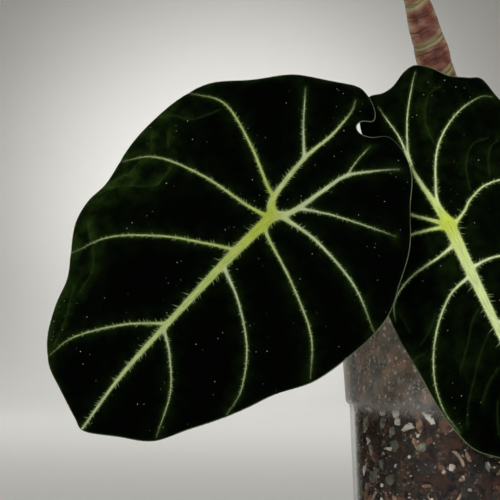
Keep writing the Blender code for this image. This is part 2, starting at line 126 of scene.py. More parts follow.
TURNED_VEINS = (
    (1.86, 0.26, 3.2, 0.4, ((0, 0), (14.5, -0.3), (32, -0.4), (55, -1), (74.5, -2))),
    (1.05, 0.30, 1.4, 0.5, ((-0.5, 0), (-9.5, -1.4), (-15.5, -2.2), (-21.5, -2.3))),
    (0.26, 0.08, 1.2, 0.1, ((-21.5, -2.3), (-28.8, -1.8), (-36, -2.8), (-40, -3.2))),
    (0.26, 0.12, 0.8, 0.1, (
        (-20, -2.4), (-24.6, -1.2), (-30.2, 1.1), (-35.7, 4), (-43.8, 9.5), (-46.5, 11.7),
    )),
    (0.38, 0.10, 1.4, 0.2, (
        (-4, -0.6), (-10.4, 0.9), (-22.1, 7), (-29.4, 16.1), (-32.4, 25.7), (-31.4, 29.2),
    )),
    (0.47, 0.20, 1.2, 0.4, ((0, -0.6), (-5, -5.7), (-11, -11.5), (-19, -17.5))),
    (0.43, 0.24, 1.2, 0.4, ((0.5, -1), (-2.2, -9.8), (-4.5, -22))),
    (0.38, 0.14, 1.4, 0.2, ((6.2, -1.5), (7.3, -6.5), (8.4, -15.3), (12, -21.5), (17, -23.4))),
    (0.38, 0.12, 1.5, 0.2, ((0.8, 1.2), (-1.9, 5.9), (-4.7, 9.5), (-6.9, 17.3), (-4, 34))),
    (0.35, 0.12, 1.5, 0.1, ((14, 0.5), (14, 9.5), (20, 31))),
    (0.33, 0.06, 1.5, 0.1, (
        (16, -1.2), (18.7, -8.6), (26.3, -15.7), (35.8, -20.4), (45, -21.8), (53.7, -20.6),
    )),
    (0.32, 0.12, 1.4, 0.0, ((31, 0), (34, 11), (44, 22.5))),
    (0.27, 0.10, 1.2, 0.0, ((52, -1), (57, 6), (66, 8))),
)
# Faint creases between the veins, where the blade is folded.
BROAD_CREASES = (
    ((-1.5, -46), (-4, -43.5), (-6, -39), (-10, -36), (-14, -34)), ((3, -46), (5, -44), (7.5, -42)),
    ((1, -41), (2.5, -39.5), (4, -38)), ((10.5, -42.5), (13.5, -42), (16.5, -42), (19.5, -43.5), (22, -44.5)),
    ((27, -44.5), (23.5, -43), (20, -39.5), (15.5, -33.5), (12, -32.5), (8.5, -33)),
    ((36, -41), (44, -31), (52, -29)), ((52, -31.5), (60, -27), (68, -25)),
)
TURNED_CREASES = (
    ((-20.8, 6.6), (-27.9, 6.7), (-31.6, 7.5), (-35.8, 9.8), (-38.5, 12.7), (-39.3, 16.1)),
    ((-6.7, 10.1), (-11.3, 11.1), (-14.1, 12.2), (-18, 15), (-19.6, 18.1), (-19.5, 21.9)),
    ((-8.9, 17.3), (-13.3, 18.9), (-16.7, 21.5), (-17.9, 24.4)),
    ((25.4, -2.8), (28, -6), (32.4, -9.1), (38.6, -14.2)),
    ((32.2, -2.7), (37.1, -7.8), (42.5, -11.9), (46.7, -15.1), (52.5, -18.2)),
    ((42.6, -5.1), (45.5, -9.2), (49.1, -12.5)), ((26.6, -20.2), (24.2, -16.5), (20.9, -13.3)),
    ((14.5, -21.9), (18.7, -21.4), (21.9, -21.3)), ((29.8, -23.6), (29.3, -22.5), (29.3, -20.5)),
    ((50.4, -8.5), (54.5, -10.5), (59, -12)),
)

# Each leaf: where its stalk joins, the way its face looks and its tip points, its size and grid, how it falls
# back, how much painted sheen and green it shows, and how far its pale parts are brightened as painted light.
# The two upper leaves are smaller copies of the broad one.
BROAD_SHAPE = {"outline": BROAD_OUTLINE, "veins": BROAD_VEINS, "creases": BROAD_CREASES}
TURNED_SHAPE = {"outline": TURNED_OUTLINE, "veins": TURNED_VEINS, "creases": TURNED_CREASES}
UPPER = {
    **BROAD_SHAPE, "cell": 0.5, "droop": 0.003, "spread": 0.002, "fold_minus": 0.1, "fold_plus": 0.1,
    "painted_sheen": 0.6, "moss_all": 0.15, "lift": 1.0,
}
LEAVES = {
    "broad": {
        **BROAD_SHAPE, "scale": 1.0, "mirror": 1, "cell": 0.45, "phase": 0.0,
        "joint": (-73.8, -53.0, 120.0), "face": (-0.20, -0.951, 0.238), "tip": (-0.668, -0.045, -0.742),
        "droop": 0.0011, "spread": 0.0011, "fold_minus": 0.0, "fold_plus": 0.0,
        "painted_sheen": 0.42, "moss_all": 0.0, "lift": 0.93,
    },
    "turned": {
        **TURNED_SHAPE, "scale": 1.0, "mirror": 1, "cell": 0.42, "phase": 2.1,
        "joint": (-24.1, -52.0, 117.8), "face": (0.0, -0.970, 0.243), "tip": (0.401, -0.222, -0.889),
        "droop": 0.0006, "spread": 0.0, "fold_minus": 0.75, "fold_plus": 0.2,
        "painted_sheen": 0.2, "moss_all": 0.16, "lift": 1.42,
    },
    "upper_right": {
        **UPPER, "scale": 0.62, "mirror": -1, "phase": 4.0,
        "joint": (34.0, 14.0, 262.0), "face": (0.52, -0.55, 0.65), "tip": (0.50, -0.22, -0.84),
    },
    "upper_left": {
        **UPPER, "scale": 0.52, "mirror": 1, "phase": 5.3,
        "joint": (-95.0, 12.0, 250.0), "face": (-0.62, -0.38, 0.69), "tip": (-0.55, -0.15, -0.82),
    },
}

# Petioles: leaf, height on the stem, way out, the points it passes and its radius.
PETIOLES = {
    "broad": (103, (-0.75, -0.45, 0.8), ((-28, -17, 112.5), (-50, -31, 117)), 2.0),
    "turned": (99, (-0.30, -0.95, 0.9), ((-8, -20, 107), (-17, -33, 112.5)), 2.0),
    "upper_right": (206, (0.80, 0.35, 2.6), ((-18, 7, 234), (2, 14, 249)), 1.5),
    "upper_left": (202, (-0.80, 0.25, 2.0), ((-54, 6, 225), (-70, 11, 237)), 1.4),
}
SPEAR_PROFILE = ((0, 2.2), (8, 2.9), (22, 3.3), (36, 2.7), (48, 1.5), (56, 0.4))

# Roots between the mix and the wall: degrees round from -Y towards +X, then height.
ROOTS = {
    "short": ((-18, 63.0), (-23, 61.5), (-28, 59.8), (-34, 56.8)),
    "long": ((-31, 55.0), (-28, 53.6), (-25, 50.5), (-24, 47), (-25, 42), (-32, 35), (-44, 28), (-56, 18)),
    "side": ((62, 58.0), (72, 50), (80, 38), (95, 30), (112, 26), (126, 15)),
    "back": ((168, 60.0), (180, 52), (186, 40), (200, 30), (222, 25), (238, 14)),
}

# The pieces that show most: kind, degrees round, height, half width, half height, and tilt in degrees.
SHOWN_PIECES = (
    ("perlite", -53, 64.0, 2.3, 2.0, 10), ("perlite", -46, 60.0, 3.0, 1.6, 22),
    ("perlite", -37, 62.7, 1.6, 3.0, 38), ("perlite", -56, 53.2, 1.9, 0.9, -15),
    ("perlite", -51, 61.4, 1.0, 1.2, 0), ("perlite", -69, 64.6, 1.5, 0.7, -20),
    ("perlite", -71, 55.0, 0.9, 1.5, 10), ("perlite", -60, 64.0, 1.3, 1.0, 0),
    ("pumice", -67, 44.7, 2.8, 2.6, 12), ("pumice", -56, 44.4, 2.4, 1.7, -8),
    ("pumice", -62, 48.6, 1.9, 1.9, 40), ("bark", -66, 56.0, 4.4, 2.4, -14),
    ("bark", -29, 55.0, 4.8, 2.4, 12), ("perlite", 30, 55.0, 2.6, 2.1, 0),
    ("pumice", 48, 40.0, 3.0, 2.4, 20), ("bark", 96, 60.0, 4.4, 2.6, 10),
    ("perlite", 148, 56.0, 2.8, 2.2, 30), ("bark", 150, 36.0, 4.6, 2.8, -20),
    ("pumice", 212, 58.0, 3.0, 2.3, 5), ("perlite", 262, 34.0, 2.5, 2.0, 15),
)
# Every kind in the mix: its share of the pieces at the wall, and its half width, height and depth.
KINDS = {
    "bark": (0.29, (2.6, 1.5, 1.0)),
    "charcoal": (0.31, (1.9, 1.6, 1.2)),
    "pumice": (0.14, (1.7, 1.4, 1.2)),
    "perlite": (0.035, (1.1, 0.9, 0.8)),
    "fibre": (0.21, (1.8, 0.9, 0.8)),
}
JITTER = 0.4  # the share of the spacing by which a piece may be shifted each way
SIZE_SPREAD = 0.38  # the lognormal spread of the pieces' sizes
MOST_TURN, MOST_LEAN = 1.5, 0.3  # radians by which a piece at the wall turns and leans


# ---------------------------------------------------------------- numbers

def linear(hex_colour):
    """An sRGB hex colour as linear red, green and blue, with full alpha."""
    parts = np.array([int(hex_colour[place : place + 2], 16) for place in (1, 3, 5)]) / 255
    low, high = parts / 12.92, ((parts + 0.055) / 1.055) ** 2.4
    return (*np.where(parts <= 0.04045, low, high).tolist(), 1.0)


def unit(vectors):
    """The same vectors at length one."""
    return vectors / np.linalg.norm(vectors, axis=-1, keepdims=True)


def smooth_step(values, low, high):
    """Nought below low and one above high, easing between them."""
    share = np.clip((values - low) / (high - low), 0, 1)
    return share * share * (3 - 2 * share)


def curve_through(points, per_span, closed=False):
    """A Catmull-Rom curve: each span is a cubic whose slope at a point is half its neighbours' difference."""
    given = np.asarray(points, float)
    if closed:
        ends = np.vstack([given[-1:], given, given[:2]])
    else:
        ends = np.vstack([2 * given[:1] - given[1:2], given, 2 * given[-1:] - given[-2:-1]])
    share = (np.arange(per_span) / per_span)[None, :, None]
    before, start, stop, after = (ends[k : len(ends) - 3 + k][:, None, :] for k in range(4))
    bend = 2 * before - 5 * start + 4 * stop - after
    twist = 3 * (start - stop) + after - before
    line = 0.5 * (2 * start + (stop - before) * share + bend * share**2 + twist * share**3)
    line = line.reshape(-1, given.shape[1])
    return line if closed else np.vstack([line, given[-1:]])


def travelled(line):
    """The distance along a line at each of its points."""
    return np.concatenate([[0.0], np.cumsum(np.linalg.norm(np.diff(line, axis=0), axis=1))])


def even_line(line, count):
    """The same line with its points spaced evenly."""
    run = travelled(line)
    wanted = np.linspace(0, run[-1], count)
    return np.stack([np.interp(wanted, run, line[:, axis]) for axis in range(line.shape[1])], axis=1)


def nearest_on(line, points):
    """For each point its distance to the line, the run along the line there, the side and the foot."""
    start, step = line[:-1], np.diff(line, axis=0)
    long = np.maximum((step**2).sum(1), 1e-12)
    run = travelled(line)
    parts = []
    for some in np.array_split(points, 1 + len(points) // 4000):
        reach = some[:, None] - start[None]
        share = np.clip((reach * step).sum(2) / long, 0, 1)
        off = reach - share[..., None] * step
        best = (off**2).sum(2).argmin(1)
        row = np.arange(len(some))
        share, off = share[row, best], off[row, best]
        side = np.sign(step[best, 0] * off[:, 1] - step[best, 1] * off[:, 0])
        parts.append((np.linalg.norm(off, axis=1), run[best] + share * np.sqrt(long[best]), side, some - off))
    return [np.concatenate(part) for part in zip(*parts)]


def within(outline, points):
    """Even-odd rule: a level line from the point crosses the outline an odd number of times."""
    start, stop = outline, np.roll(outline, -1, axis=0)
    parts = []
    for some in np.array_split(points, 1 + len(points) // 4000):
        x, y = some[:, :1], some[:, 1:]
        spans = (start[:, 1] > y) != (stop[:, 1] > y)
        rise = np.where(np.abs(stop[:, 1] - start[:, 1]) < 1e-12, 1e-12, stop[:, 1] - start[:, 1])
        crossing = start[:, 0] + (y - start[:, 1]) * (stop[:, 0] - start[:, 0]) / rise
        parts.append(((spans & (x < crossing)).sum(1) % 2) == 1)
    return np.concatenate(parts)


def waves(points, length, seed):
    """Smooth noise between about -1 and 1: the mean of eight sine waves in seeded directions."""
    dice = np.random.default_rng(seed)
    ways = unit(dice.normal(size=(8, points.shape[1])))
    rates = 2 * np.pi / length * dice.uniform(0.7, 1.5, 8)
    shifts = dice.uniform(0, 2 * np.pi, 8)
    return np.sin(points @ (ways * rates[:, None]).T + shifts).sum(1) / 3.2


# ---------------------------------------------------------------- meshes

def put_mesh(name, points, faces, material, attributes=None, sharp_degrees=60):
    """A mesh object from arrays: points in millimetres, faces as rows, an attribute for each extra array."""
    mesh = bpy.data.meshes.new(name)
    sizes = [face.shape[1] for face in faces for _ in range(len(face))]
    loops = np.concatenate([face.ravel() for face in faces]).astype(np.int32)
    mesh.vertices.add(len(points))
    mesh.vertices.foreach_set("co", (np.asarray(points) * MM).astype(np.float32).ravel())
    mesh.loops.add(len(loops))
    mesh.loops.foreach_set("vertex_index", loops)
    mesh.polygons.add(len(sizes))
    starts = np.concatenate([[0], np.cumsum(sizes)[:-1]]).astype(np.int32)
    mesh.polygons.foreach_set("loop_start", starts)
    for key, values in (attributes or {}).items():
        values = np.asarray(values, np.float32)
        kind = "FLOAT_VECTOR" if values.ndim == 2 else "FLOAT"
        layer = mesh.attributes.new(key, kind, "POINT")
        layer.data.foreach_set("vector" if values.ndim == 2 else "value", values.ravel())
    mesh.update(calc_edges=True)
    mesh.validate()
    mesh.shade_smooth()
    mesh.set_sharp_from_angle(angle=math.radians(sharp_degrees))
    mesh.materials.append(material)
    made = bpy.data.objects.new(name, mesh)
    bpy.context.scene.collection.objects.link(made)
    return made


def hand_in(piece, slot, *nodes):
    """The piece rides on the one body and stands for its nodes. Its slot is not used."""
    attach(piece, BODY)
    if nodes:
        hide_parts(*nodes)


def nodes_named(*starts):
    """The frame's nodes whose names begin with any of the given words."""
    return [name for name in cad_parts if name.startswith(starts)]


def grid_faces(rows, columns, wrap):
    """Quads over a grid of points, row after row; wrap joins the last column to the first."""
    row = np.arange(rows - 1)[:, None]
    column = np.arange(columns if wrap else columns - 1)[None, :]
    after = (column + 1) % columns
    near, far = row * columns, (row + 1) * columns
    return np.stack([near + column, near + after, far + after, far + column], axis=2).reshape(-1, 4)


def tube_mesh(line, radii, around):
    """Rings carried along a line, each square to it, with a cap at both ends.

    A ring's point is the line's point plus radius x (cosine x side + sine x up). Radii may differ round the
    ring. Also returned: the same tube straightened out, as (x, y, run), for patterns that follow it.
    """
    run = travelled(line)
    ahead = unit(np.gradient(line, axis=0))
    guide = np.array([0.31, 0.94, 0.12])
    side = unit(guide - ahead * (ahead @ guide)[:, None])
    up = np.cross(ahead, side)
    angle = 2 * np.pi * np.arange(around) / around
    radii = np.broadcast_to(np.asarray(radii, float).reshape(len(line), -1), (len(line), around))
    across, over = radii * np.cos(angle), radii * np.sin(angle)
    rings = line[:, None] + across[..., None] * side[:, None] + over[..., None] * up[:, None]
    straight = np.stack([across, over, np.broadcast_to(run[:, None], across.shape)], axis=2)
    points = np.vstack([rings.reshape(-1, 3), line[:1], line[-1:]])
    straight = np.vstack([straight.reshape(-1, 3), [(0, 0, 0), (0, 0, run[-1])]])
    column = np.arange(around)
    after = (column + 1) % around
    last = (len(line) - 1) * around
    foot, head = len(points) - 2, len(points) - 1
    caps = np.vstack([
        np.stack([np.full(around, foot), after, column], axis=1),
        np.stack([np.full(around, head), last + column, last + after], axis=1),
    ])
    return points, (grid_faces(len(line), around, True), caps), straight


# ---------------------------------------------------------------- materials

def add(tree, kind, links=None, stops=(), **settings):
    """Adds one node. Settings are its own properties, links are values, sockets or nodes for its inputs."""
    node = tree.nodes.new(kind)
    for name, value in settings.items():
        setattr(node, name, value)
    if stops:
        while len(node.color_ramp.elements) < len(stops):
            node.color_ramp.elements.new(1.0)
        for element, (place, colour) in zip(node.color_ramp.elements, stops):
            element.position = place
            element.color = painted(colour)
    for key, value in (links or {}).items():
        if isinstance(value, bpy.types.Node):
            value = value.outputs[0]
        if isinstance(value, bpy.types.NodeSocket):
            tree.links.new(value, node.inputs[key])
        else:
            node.inputs[key].default_value = painted(value)
    return node


def painted(value):
    """A hex colour turned linear; any other value as it is."""
    return linear(value) if isinstance(value, str) else value


def calc(tree, operation, *values, clamp=False):
    """One arithmetic step on one, two or three values."""
    return add(tree, "ShaderNodeMath", dict(enumerate(values)), operation=operation, use_clamp=clamp)


def remap(tree, value, *ends, smooth=False):
    """A value taken from one range to another: from low, from high, and to low, to high if not 0 and 1."""
    kind = "SMOOTHSTEP" if smooth else "LINEAR"
    return add(tree, "ShaderNodeMapRange", dict(enumerate((value, *ends))), interpolation_type=kind)


def blend(tree, share, first, second):
    """The first colour, turning into the second as the share grows."""
    return add(tree, "ShaderNodeMix", {0: share, 6: first, 7: second}, data_type="RGBA").outputs[2]


def noise(tree, where, scale, detail, rough=0.5):
    """Fractal noise."""
    links = {"Vector": where, "Scale": scale, "Detail": detail, "Roughness": rough}
    return add(tree, "ShaderNodeTexNoise", links)


def ramp(tree, value, stops):
    """A colour ramp."""
    return add(tree, "ShaderNodeValToRGB", {"Fac": value}, stops=stops)


def scaled(tree, vector, factor):
    """A vector or colour times a factor."""
    return add(tree, "ShaderNodeVectorMath", {0: vector, "Scale": factor}, operation="SCALE")


def stretched(tree, vector, *factors):
    """A place with each axis times its own factor."""
    return add(tree, "ShaderNodeMapping", {"Vector": vector, "Scale": factors})


def attribute(tree, name, output="Fac"):
    """One of the mesh's own attributes."""
    return add(tree, "ShaderNodeAttribute", attribute_name=name).outputs[output]


def object_place(tree):
    """The point's Object coordinates."""
    return add(tree, "ShaderNodeTexCoord").outputs["Object"]


def bumps(tree, height, strength, depth):
    """A bumpy normal; the depth is in millimetres."""
    return add(tree, "ShaderNodeBump", {"Height": height, "Strength": strength, "Distance": depth * MM})


def fed(made, shader, **sources):
    """The material, once its shader's inputs are linked to their sources."""
    for key, source in sources.items():
        socket = source.outputs[0] if isinstance(source, bpy.types.Node) else source
        made.node_tree.links.new(socket, shader.inputs[key.replace("_", " ")])
    return made


def new_material(name, **values):
    """A material with one Principled shader, and the values that are the same all over its surface."""
    made = bpy.data.materials.new(name)
    made.use_nodes = True
    tree = made.node_tree
    shader = tree.nodes["Principled BSDF"]
    for key, value in values.items():
        shader.inputs[key.replace("_", " ")].default_value = painted(value)
    return made, tree, shader


def velvet_blade(look):
    """Aroid leaf blade: living tissue whose face is packed with tiny cones that trap the light, so it looks
    like black velvet and hardly shines. Veins are bare pale tissue with a fringe of soft hairs. The back is
    smooth.
    """
    made, tree, shader = new_material(
        "velvet_leaf_blade", Specular_IOR_Level=0.01, Sheen_Weight=look.sheen, Sheen_Roughness=0.35,
        Sheen_Tint="#8fae86", IOR=1.4,
    )
    field = {
        key: attribute(tree, key)
        for key in ("gap", "run", "side", "hair", "tone", "bold", "crease", "rim", "under", "glow", "lift")
    }
    flat = attribute(tree, "flat", "Vector")

    # Hairs: the run along the vein is cut into cells, and each cell holds one hair, drawn as a thin spike
    # that leans towards the vein's end. Real hairs are finer; 0.3 mm at the foot is what still shows.
    pitch, foot, lean_back = 0.72, 0.30, -0.45
    lean = calc(tree, "MULTIPLY_ADD", field["gap"], lean_back, field["run"])
    cells = calc(tree, "DIVIDE", lean, pitch)
    number = calc(tree, "FLOOR", cells)
    share = calc(tree, "FRACT", cells)
    left = calc(tree, "GREATER_THAN", field["side"], 0.0)
    place = add(tree, "ShaderNodeCombineXYZ", {"X": number, "Y": left})
    dice = add(tree, "ShaderNodeTexWhiteNoise", {"Vector": place}, noise_dimensions="3D")
    split = add(tree, "ShaderNodeSeparateColor", {"Color": dice.outputs["Color"]})
    chance = calc(tree, "POWER", split.outputs[0], 2.4)
    reach = calc(tree, "MULTIPLY_ADD", chance, 0.88, 0.12)
    length = calc(tree, "MULTIPLY", reach, field["hair"])
    out = calc(tree, "DIVIDE", field["gap"], length, clamp=True)
    width = calc(tree, "MULTIPLY_ADD", out, -foot / pitch, foot / pitch)
    middle = calc(tree, "MULTIPLY_ADD", split.outputs[1], 0.5, 0.25)
    off = calc(tree, "SUBTRACT", share, middle)
    off = calc(tree, "ABSOLUTE", off)
    hairs = calc(tree, "SUBTRACT", width, off)
    hairs = remap(tree, hairs, 0.0, 0.10, smooth=True)

    # The vein itself, with a slightly ragged edge.
    ragged = noise(tree, flat, 1.4, 2.0)
    edge = calc(tree, "MULTIPLY_ADD", ragged, 0.45, -0.22)
    edge = calc(tree, "ADD", field["gap"], edge)
    vein = remap(tree, edge, 0.11, -0.08, smooth=True)
    thinning = calc(tree, "MULTIPLY_ADD", out, -0.5, 0.8)
    fringe = calc(tree, "MULTIPLY", hairs, thinning)
    pale = calc(tree, "MAXIMUM", vein, fringe)
    pale = calc(tree, "MULTIPLY", pale, field["bold"])

    # Colours of the blade: black between, dark green beside the veins and in soft patches, and green near the
    # margin and beside the creases that is painted sheen and painted light.
    patches = noise(tree, flat, 0.26, 3.0)
    patches = remap(tree, patches, 0.40, 0.66, 0.3, 1.15)
    green = calc(tree, "MULTIPLY", field["glow"], patches, clamp=True)
    nap = noise(tree, flat, 2.2, 3.0)
    nap_tone = remap(tree, nap, 0.3, 0.7, 0.6, 1.3)
    green = calc(tree, "MULTIPLY", green, nap_tone, clamp=True)
    blade = blend(tree, green, look.velvet, look.glow)
    halo = remap(tree, field["gap"], 0.7, 0.0, 0.0, 0.6)
    halo = calc(tree, "MULTIPLY", halo, field["bold"])
    blade = blend(tree, halo, blade, look.halo)

    mottle = noise(tree, flat, 1.9, 4.0)
    lift = remap(tree, mottle, 0.3, 0.7, -0.18, 0.18)
    tone = calc(tree, "ADD", field["tone"], lift, clamp=True)
    pale_colour = blend(tree, tone, look.vein, look.midrib)
    drawn = add(tree, "ShaderNodeCombineXYZ", {"X": field["run"], "Y": field["gap"]})
    drawn = stretched(tree, drawn, 0.25, 3.0, 1.0)
    fibres = noise(tree, drawn, 1.0, 3.0)
    fibres = remap(tree, fibres, 0.3, 0.7, 0.76, 1.22)
    # Painted light: each leaf's pale parts are brightened or dimmed by its own factor, standing in for how
    # much light falls on that leaf.
    fibres = calc(tree, "MULTIPLY", fibres, field["lift"])
    pale_colour = scaled(tree, pale_colour, fibres)
    core = remap(tree, edge, 0.08, -0.34, smooth=True)
    verge = blend(tree, tone, "#79856a", look.verge)
    pale_colour = blend(tree, core, verge, pale_colour)
    top = blend(tree, pale, blade, pale_colour)

    # Creases catch the light as thin dark green lines.
    fold = calc(tree, "MULTIPLY", field["crease"], 0.24)
    top = blend(tree, fold, top, "#31461f")

    # Dust: pale specks of a fifth of a millimetre, in loose clusters.
    specks = add(tree, "ShaderNodeTexVoronoi", {"Vector": flat, "Scale": 0.95}, feature="F1")
    close = remap(tree, specks.outputs["Distance"], 0.15, 0.06)
    drawn = add(tree, "ShaderNodeSeparateColor", {"Color": specks.outputs["Color"]})
    thick = noise(tree, flat, 0.085, 2.0)
    thick = remap(tree, thick, 0.50, 0.72, 0.97, 0.55)
    picked = calc(tree, "GREATER_THAN", drawn.outputs[0], thick)
    dust = calc(tree, "MULTIPLY", close, picked)
    dust = calc(tree, "MULTIPLY", dust, drawn.outputs[1])
    top = blend(tree, dust, top, "#c9ccc0")

    # Painted light at the margin: a thin pale line, the edge's own tissue made pale to stand in for light
    # coming through it from behind.
    cord = remap(tree, field["rim"], 0.26, 0.02)
    bare = noise(tree, flat, 0.07, 1.0)
    bare = remap(tree, bare, 0.38, 0.62, 0.3, 1.0)
    cord = calc(tree, "MULTIPLY", cord, bare)
    top = blend(tree, cord, top, look.rim)

    # The back: pale green, with paler ribs.
    shaded = remap(tree, field["gap"], 0.0, 6.0)
    back = blend(tree, shaded, "#b3bd8e", "#6f8a66")
    back_nap = remap(tree, patches, 0.35, 1.15, 0.85, 1.1)
    back = scaled(tree, back, back_nap)
    colour = blend(tree, field["under"], top, back)
    rough = remap(tree, pale, 0.0, 1.0, 0.85, 0.5)
    height = bumps(tree, calc(tree, "ADD", nap, mottle), 0.35, 0.15)
    return fed(made, shader, Base_Color=colour, Roughness=rough, Normal=height)


def green_stalk(look):
    """Petiole skin: smooth, slightly waxy green tissue with fine lengthwise streaks and a redder foot."""
    made, tree, shader = new_material("waxy_green_stalk", Roughness=0.42, IOR=1.4, Specular_IOR_Level=0.4)
    flat = attribute(tree, "flat", "Vector")
    foot = attribute(tree, "foot")
    drawn = stretched(tree, flat, 1.6, 1.6, 0.12)
    streaks = noise(tree, drawn, 1.0, 4.0)
    colour = ramp(tree, streaks, ((0.3, "#4f5f30"), (0.5, look.petiole), (0.72, "#a9b078")))
    blush = blend(tree, foot, colour, look.flesh)
    return fed(made, shader, Base_Color=blush, Normal=bumps(tree, streaks, 0.3, 0.1))


def scarred_stem(look):
    """Aroid stem: fleshy, waxy skin, red-brown to pink, ringed by green leaf scars and darker creases."""
    made, tree, shader = new_material(
        "fleshy_stem_skin", Roughness=0.48, IOR=1.42, Specular_IOR_Level=0.28, Subsurface_Weight=0.12,
        Subsurface_Radius=(1.0, 0.4, 0.25), Subsurface_Scale=1.2 * MM,
    )
    flat = attribute(tree, "flat", "Vector")
    field = {key: attribute(tree, key) for key in ("scar", "crease", "band", "flank")}
    broad = stretched(tree, flat, 0.22, 0.22, 0.35)
    blotch = noise(tree, broad, 1.0, 4.0)
    # Painted light: the skin is made paler on both flanks and darker on the side facing -Y, standing in for
    # the waxy skin's sheen where it turns away.
    blotch = calc(tree, "MULTIPLY_ADD", field["flank"], 0.55, blotch)
    skin = ramp(tree, blotch, ((0.30, "#451e14"), (0.54, "#63362a"), (0.76, "#8b6350"), (1.0, "#ab947c")))
    fine = noise(tree, flat, 1.6, 4.0)
    pores = remap(tree, fine, 0.62, 0.74, 0.0, 0.15)
    skin = blend(tree, pores, skin, "#c3a291")
    skin = blend(tree, field["band"], skin, look.band)
    # Painted shade: the skin is darkened along each crease, where the groove lies in shade.
    dark = calc(tree, "MULTIPLY", field["crease"], 0.95)
    skin = blend(tree, dark, skin, "#32140d")
    skin = blend(tree, field["scar"], skin, look.scar)
    return fed(made, shader, Base_Color=skin, Normal=bumps(tree, fine, 0.25, 0.12))


def clear_plastic(look):
    """Thin clear PET, vacuum formed: nearly all light passes. Where the wall turns away it is made milky,
    whiter and less clear, as a painted reflection. The collar is fogged by dried mineral film, drawn down in
    streaks and flecked with pale specks.
    Below the ledge the wall is clean.
    """
    made, tree, shader = new_material("clear_thin_pet", IOR=1.5, Specular_IOR_Level=0.35)
    where = object_place(tree)
    height = add(tree, "ShaderNodeSeparateXYZ", {"Vector": where}).outputs["Z"]
    collar = remap(tree, height, (LEDGE_HEIGHT - 4) * MM, (LEDGE_HEIGHT + 5) * MM, smooth=True)
    drawn = stretched(tree, where, 900, 900, 90)
    streaks = noise(tree, drawn, 1.0, 3.0)
    clouds = noise(tree, where, 170.0, 5.0, 0.6)
    film = calc(tree, "MULTIPLY_ADD", streaks, 0.07, clouds)
    film = remap(tree, film, 0.40, 0.70, 0.14, 0.60)
    damp = noise(tree, where, 42.0, 1.0)
    damp = remap(tree, damp, 0.48, 0.62, smooth=True)
    film = calc(tree, "MULTIPLY_ADD", damp, 0.12, film)
    film = calc(tree, "MULTIPLY", film, collar)
    bent = noise(tree, where, 900.0, 2.0)
    swirl = scaled(tree, bent.outputs["Color"], 1.2 * MM)
    swirl = add(tree, "ShaderNodeVectorMath", {0: where, 1: swirl}, operation="ADD")
    grains = add(tree, "ShaderNodeTexVoronoi", {"Vector": swirl, "Scale": 750.0}, feature="F1")
    lots = add(tree, "ShaderNodeSeparateColor", {"Color": grains.outputs["Color"]})
    chosen = remap(tree, lots.outputs[0], 0.55, 0.9)
    close = remap(tree, grains.outputs["Distance"], 0.48, 0.22)
    flecks = calc(tree, "MULTIPLY", chosen, close)
    flecks = calc(tree, "MULTIPLY", flecks, collar)
    # Painted reflection: the wall is made more opaque and whiter where it turns away from the view.
    turning = add(tree, "ShaderNodeLayerWeight", {"Blend": 0.5}).outputs["Facing"]
    edge = remap(tree, turning, 0.72, 0.98, 0.012, 0.74)
    alpha = calc(tree, "ADD", film, edge)
    alpha = calc(tree, "MULTIPLY_ADD", flecks, 0.6, alpha, clamp=True)
    stain = noise(tree, where, 240.0, 3.0)
    stained = ramp(tree, stain, ((0.36, "#8a8a86"), (0.5, look.film), (0.64, "#cfa891")))
    misted = calc(tree, "MULTIPLY", damp, 0.45)
    stained = blend(tree, misted, stained, "#777b7c")
    # Painted reflection: towards the turning edge the collar's film tint gives way to the pale plastic
    # colour.
    fogged = remap(tree, turning, 0.70, 0.90, 1.0, 0.35)
    fogged = calc(tree, "MULTIPLY", fogged, collar)
    tint = blend(tree, fogged, look.plastic, stained)
    tint = blend(tree, flecks, tint, "#d2c9bc")
    rough = remap(tree, film, 0.0, 0.5, 0.10, 0.5)
    return fed(made, shader, Base_Color=tint, Roughness=rough, Alpha=alpha)


def crumb(name, stops, rough, scale, bump_height):
    """A broken mineral or woody piece: its own shade from the stops, grain at a scale, a pitted surface."""
    made, tree, shader = new_material(name, Roughness=rough, Specular_IOR_Level=0.2)
    where = object_place(tree)
    shade = attribute(tree, "shade")
    grain = noise(tree, where, scale, 5.0, 0.65)
    mixed = calc(tree, "MULTIPLY_ADD", grain, 1.5, -0.75)
    mixed = calc(tree, "ADD", shade, mixed, clamp=True)
    colour = ramp(tree, mixed, stops)
    return fed(made, shader, Base_Color=colour, Normal=bumps(tree, grain, 0.8, bump_height))


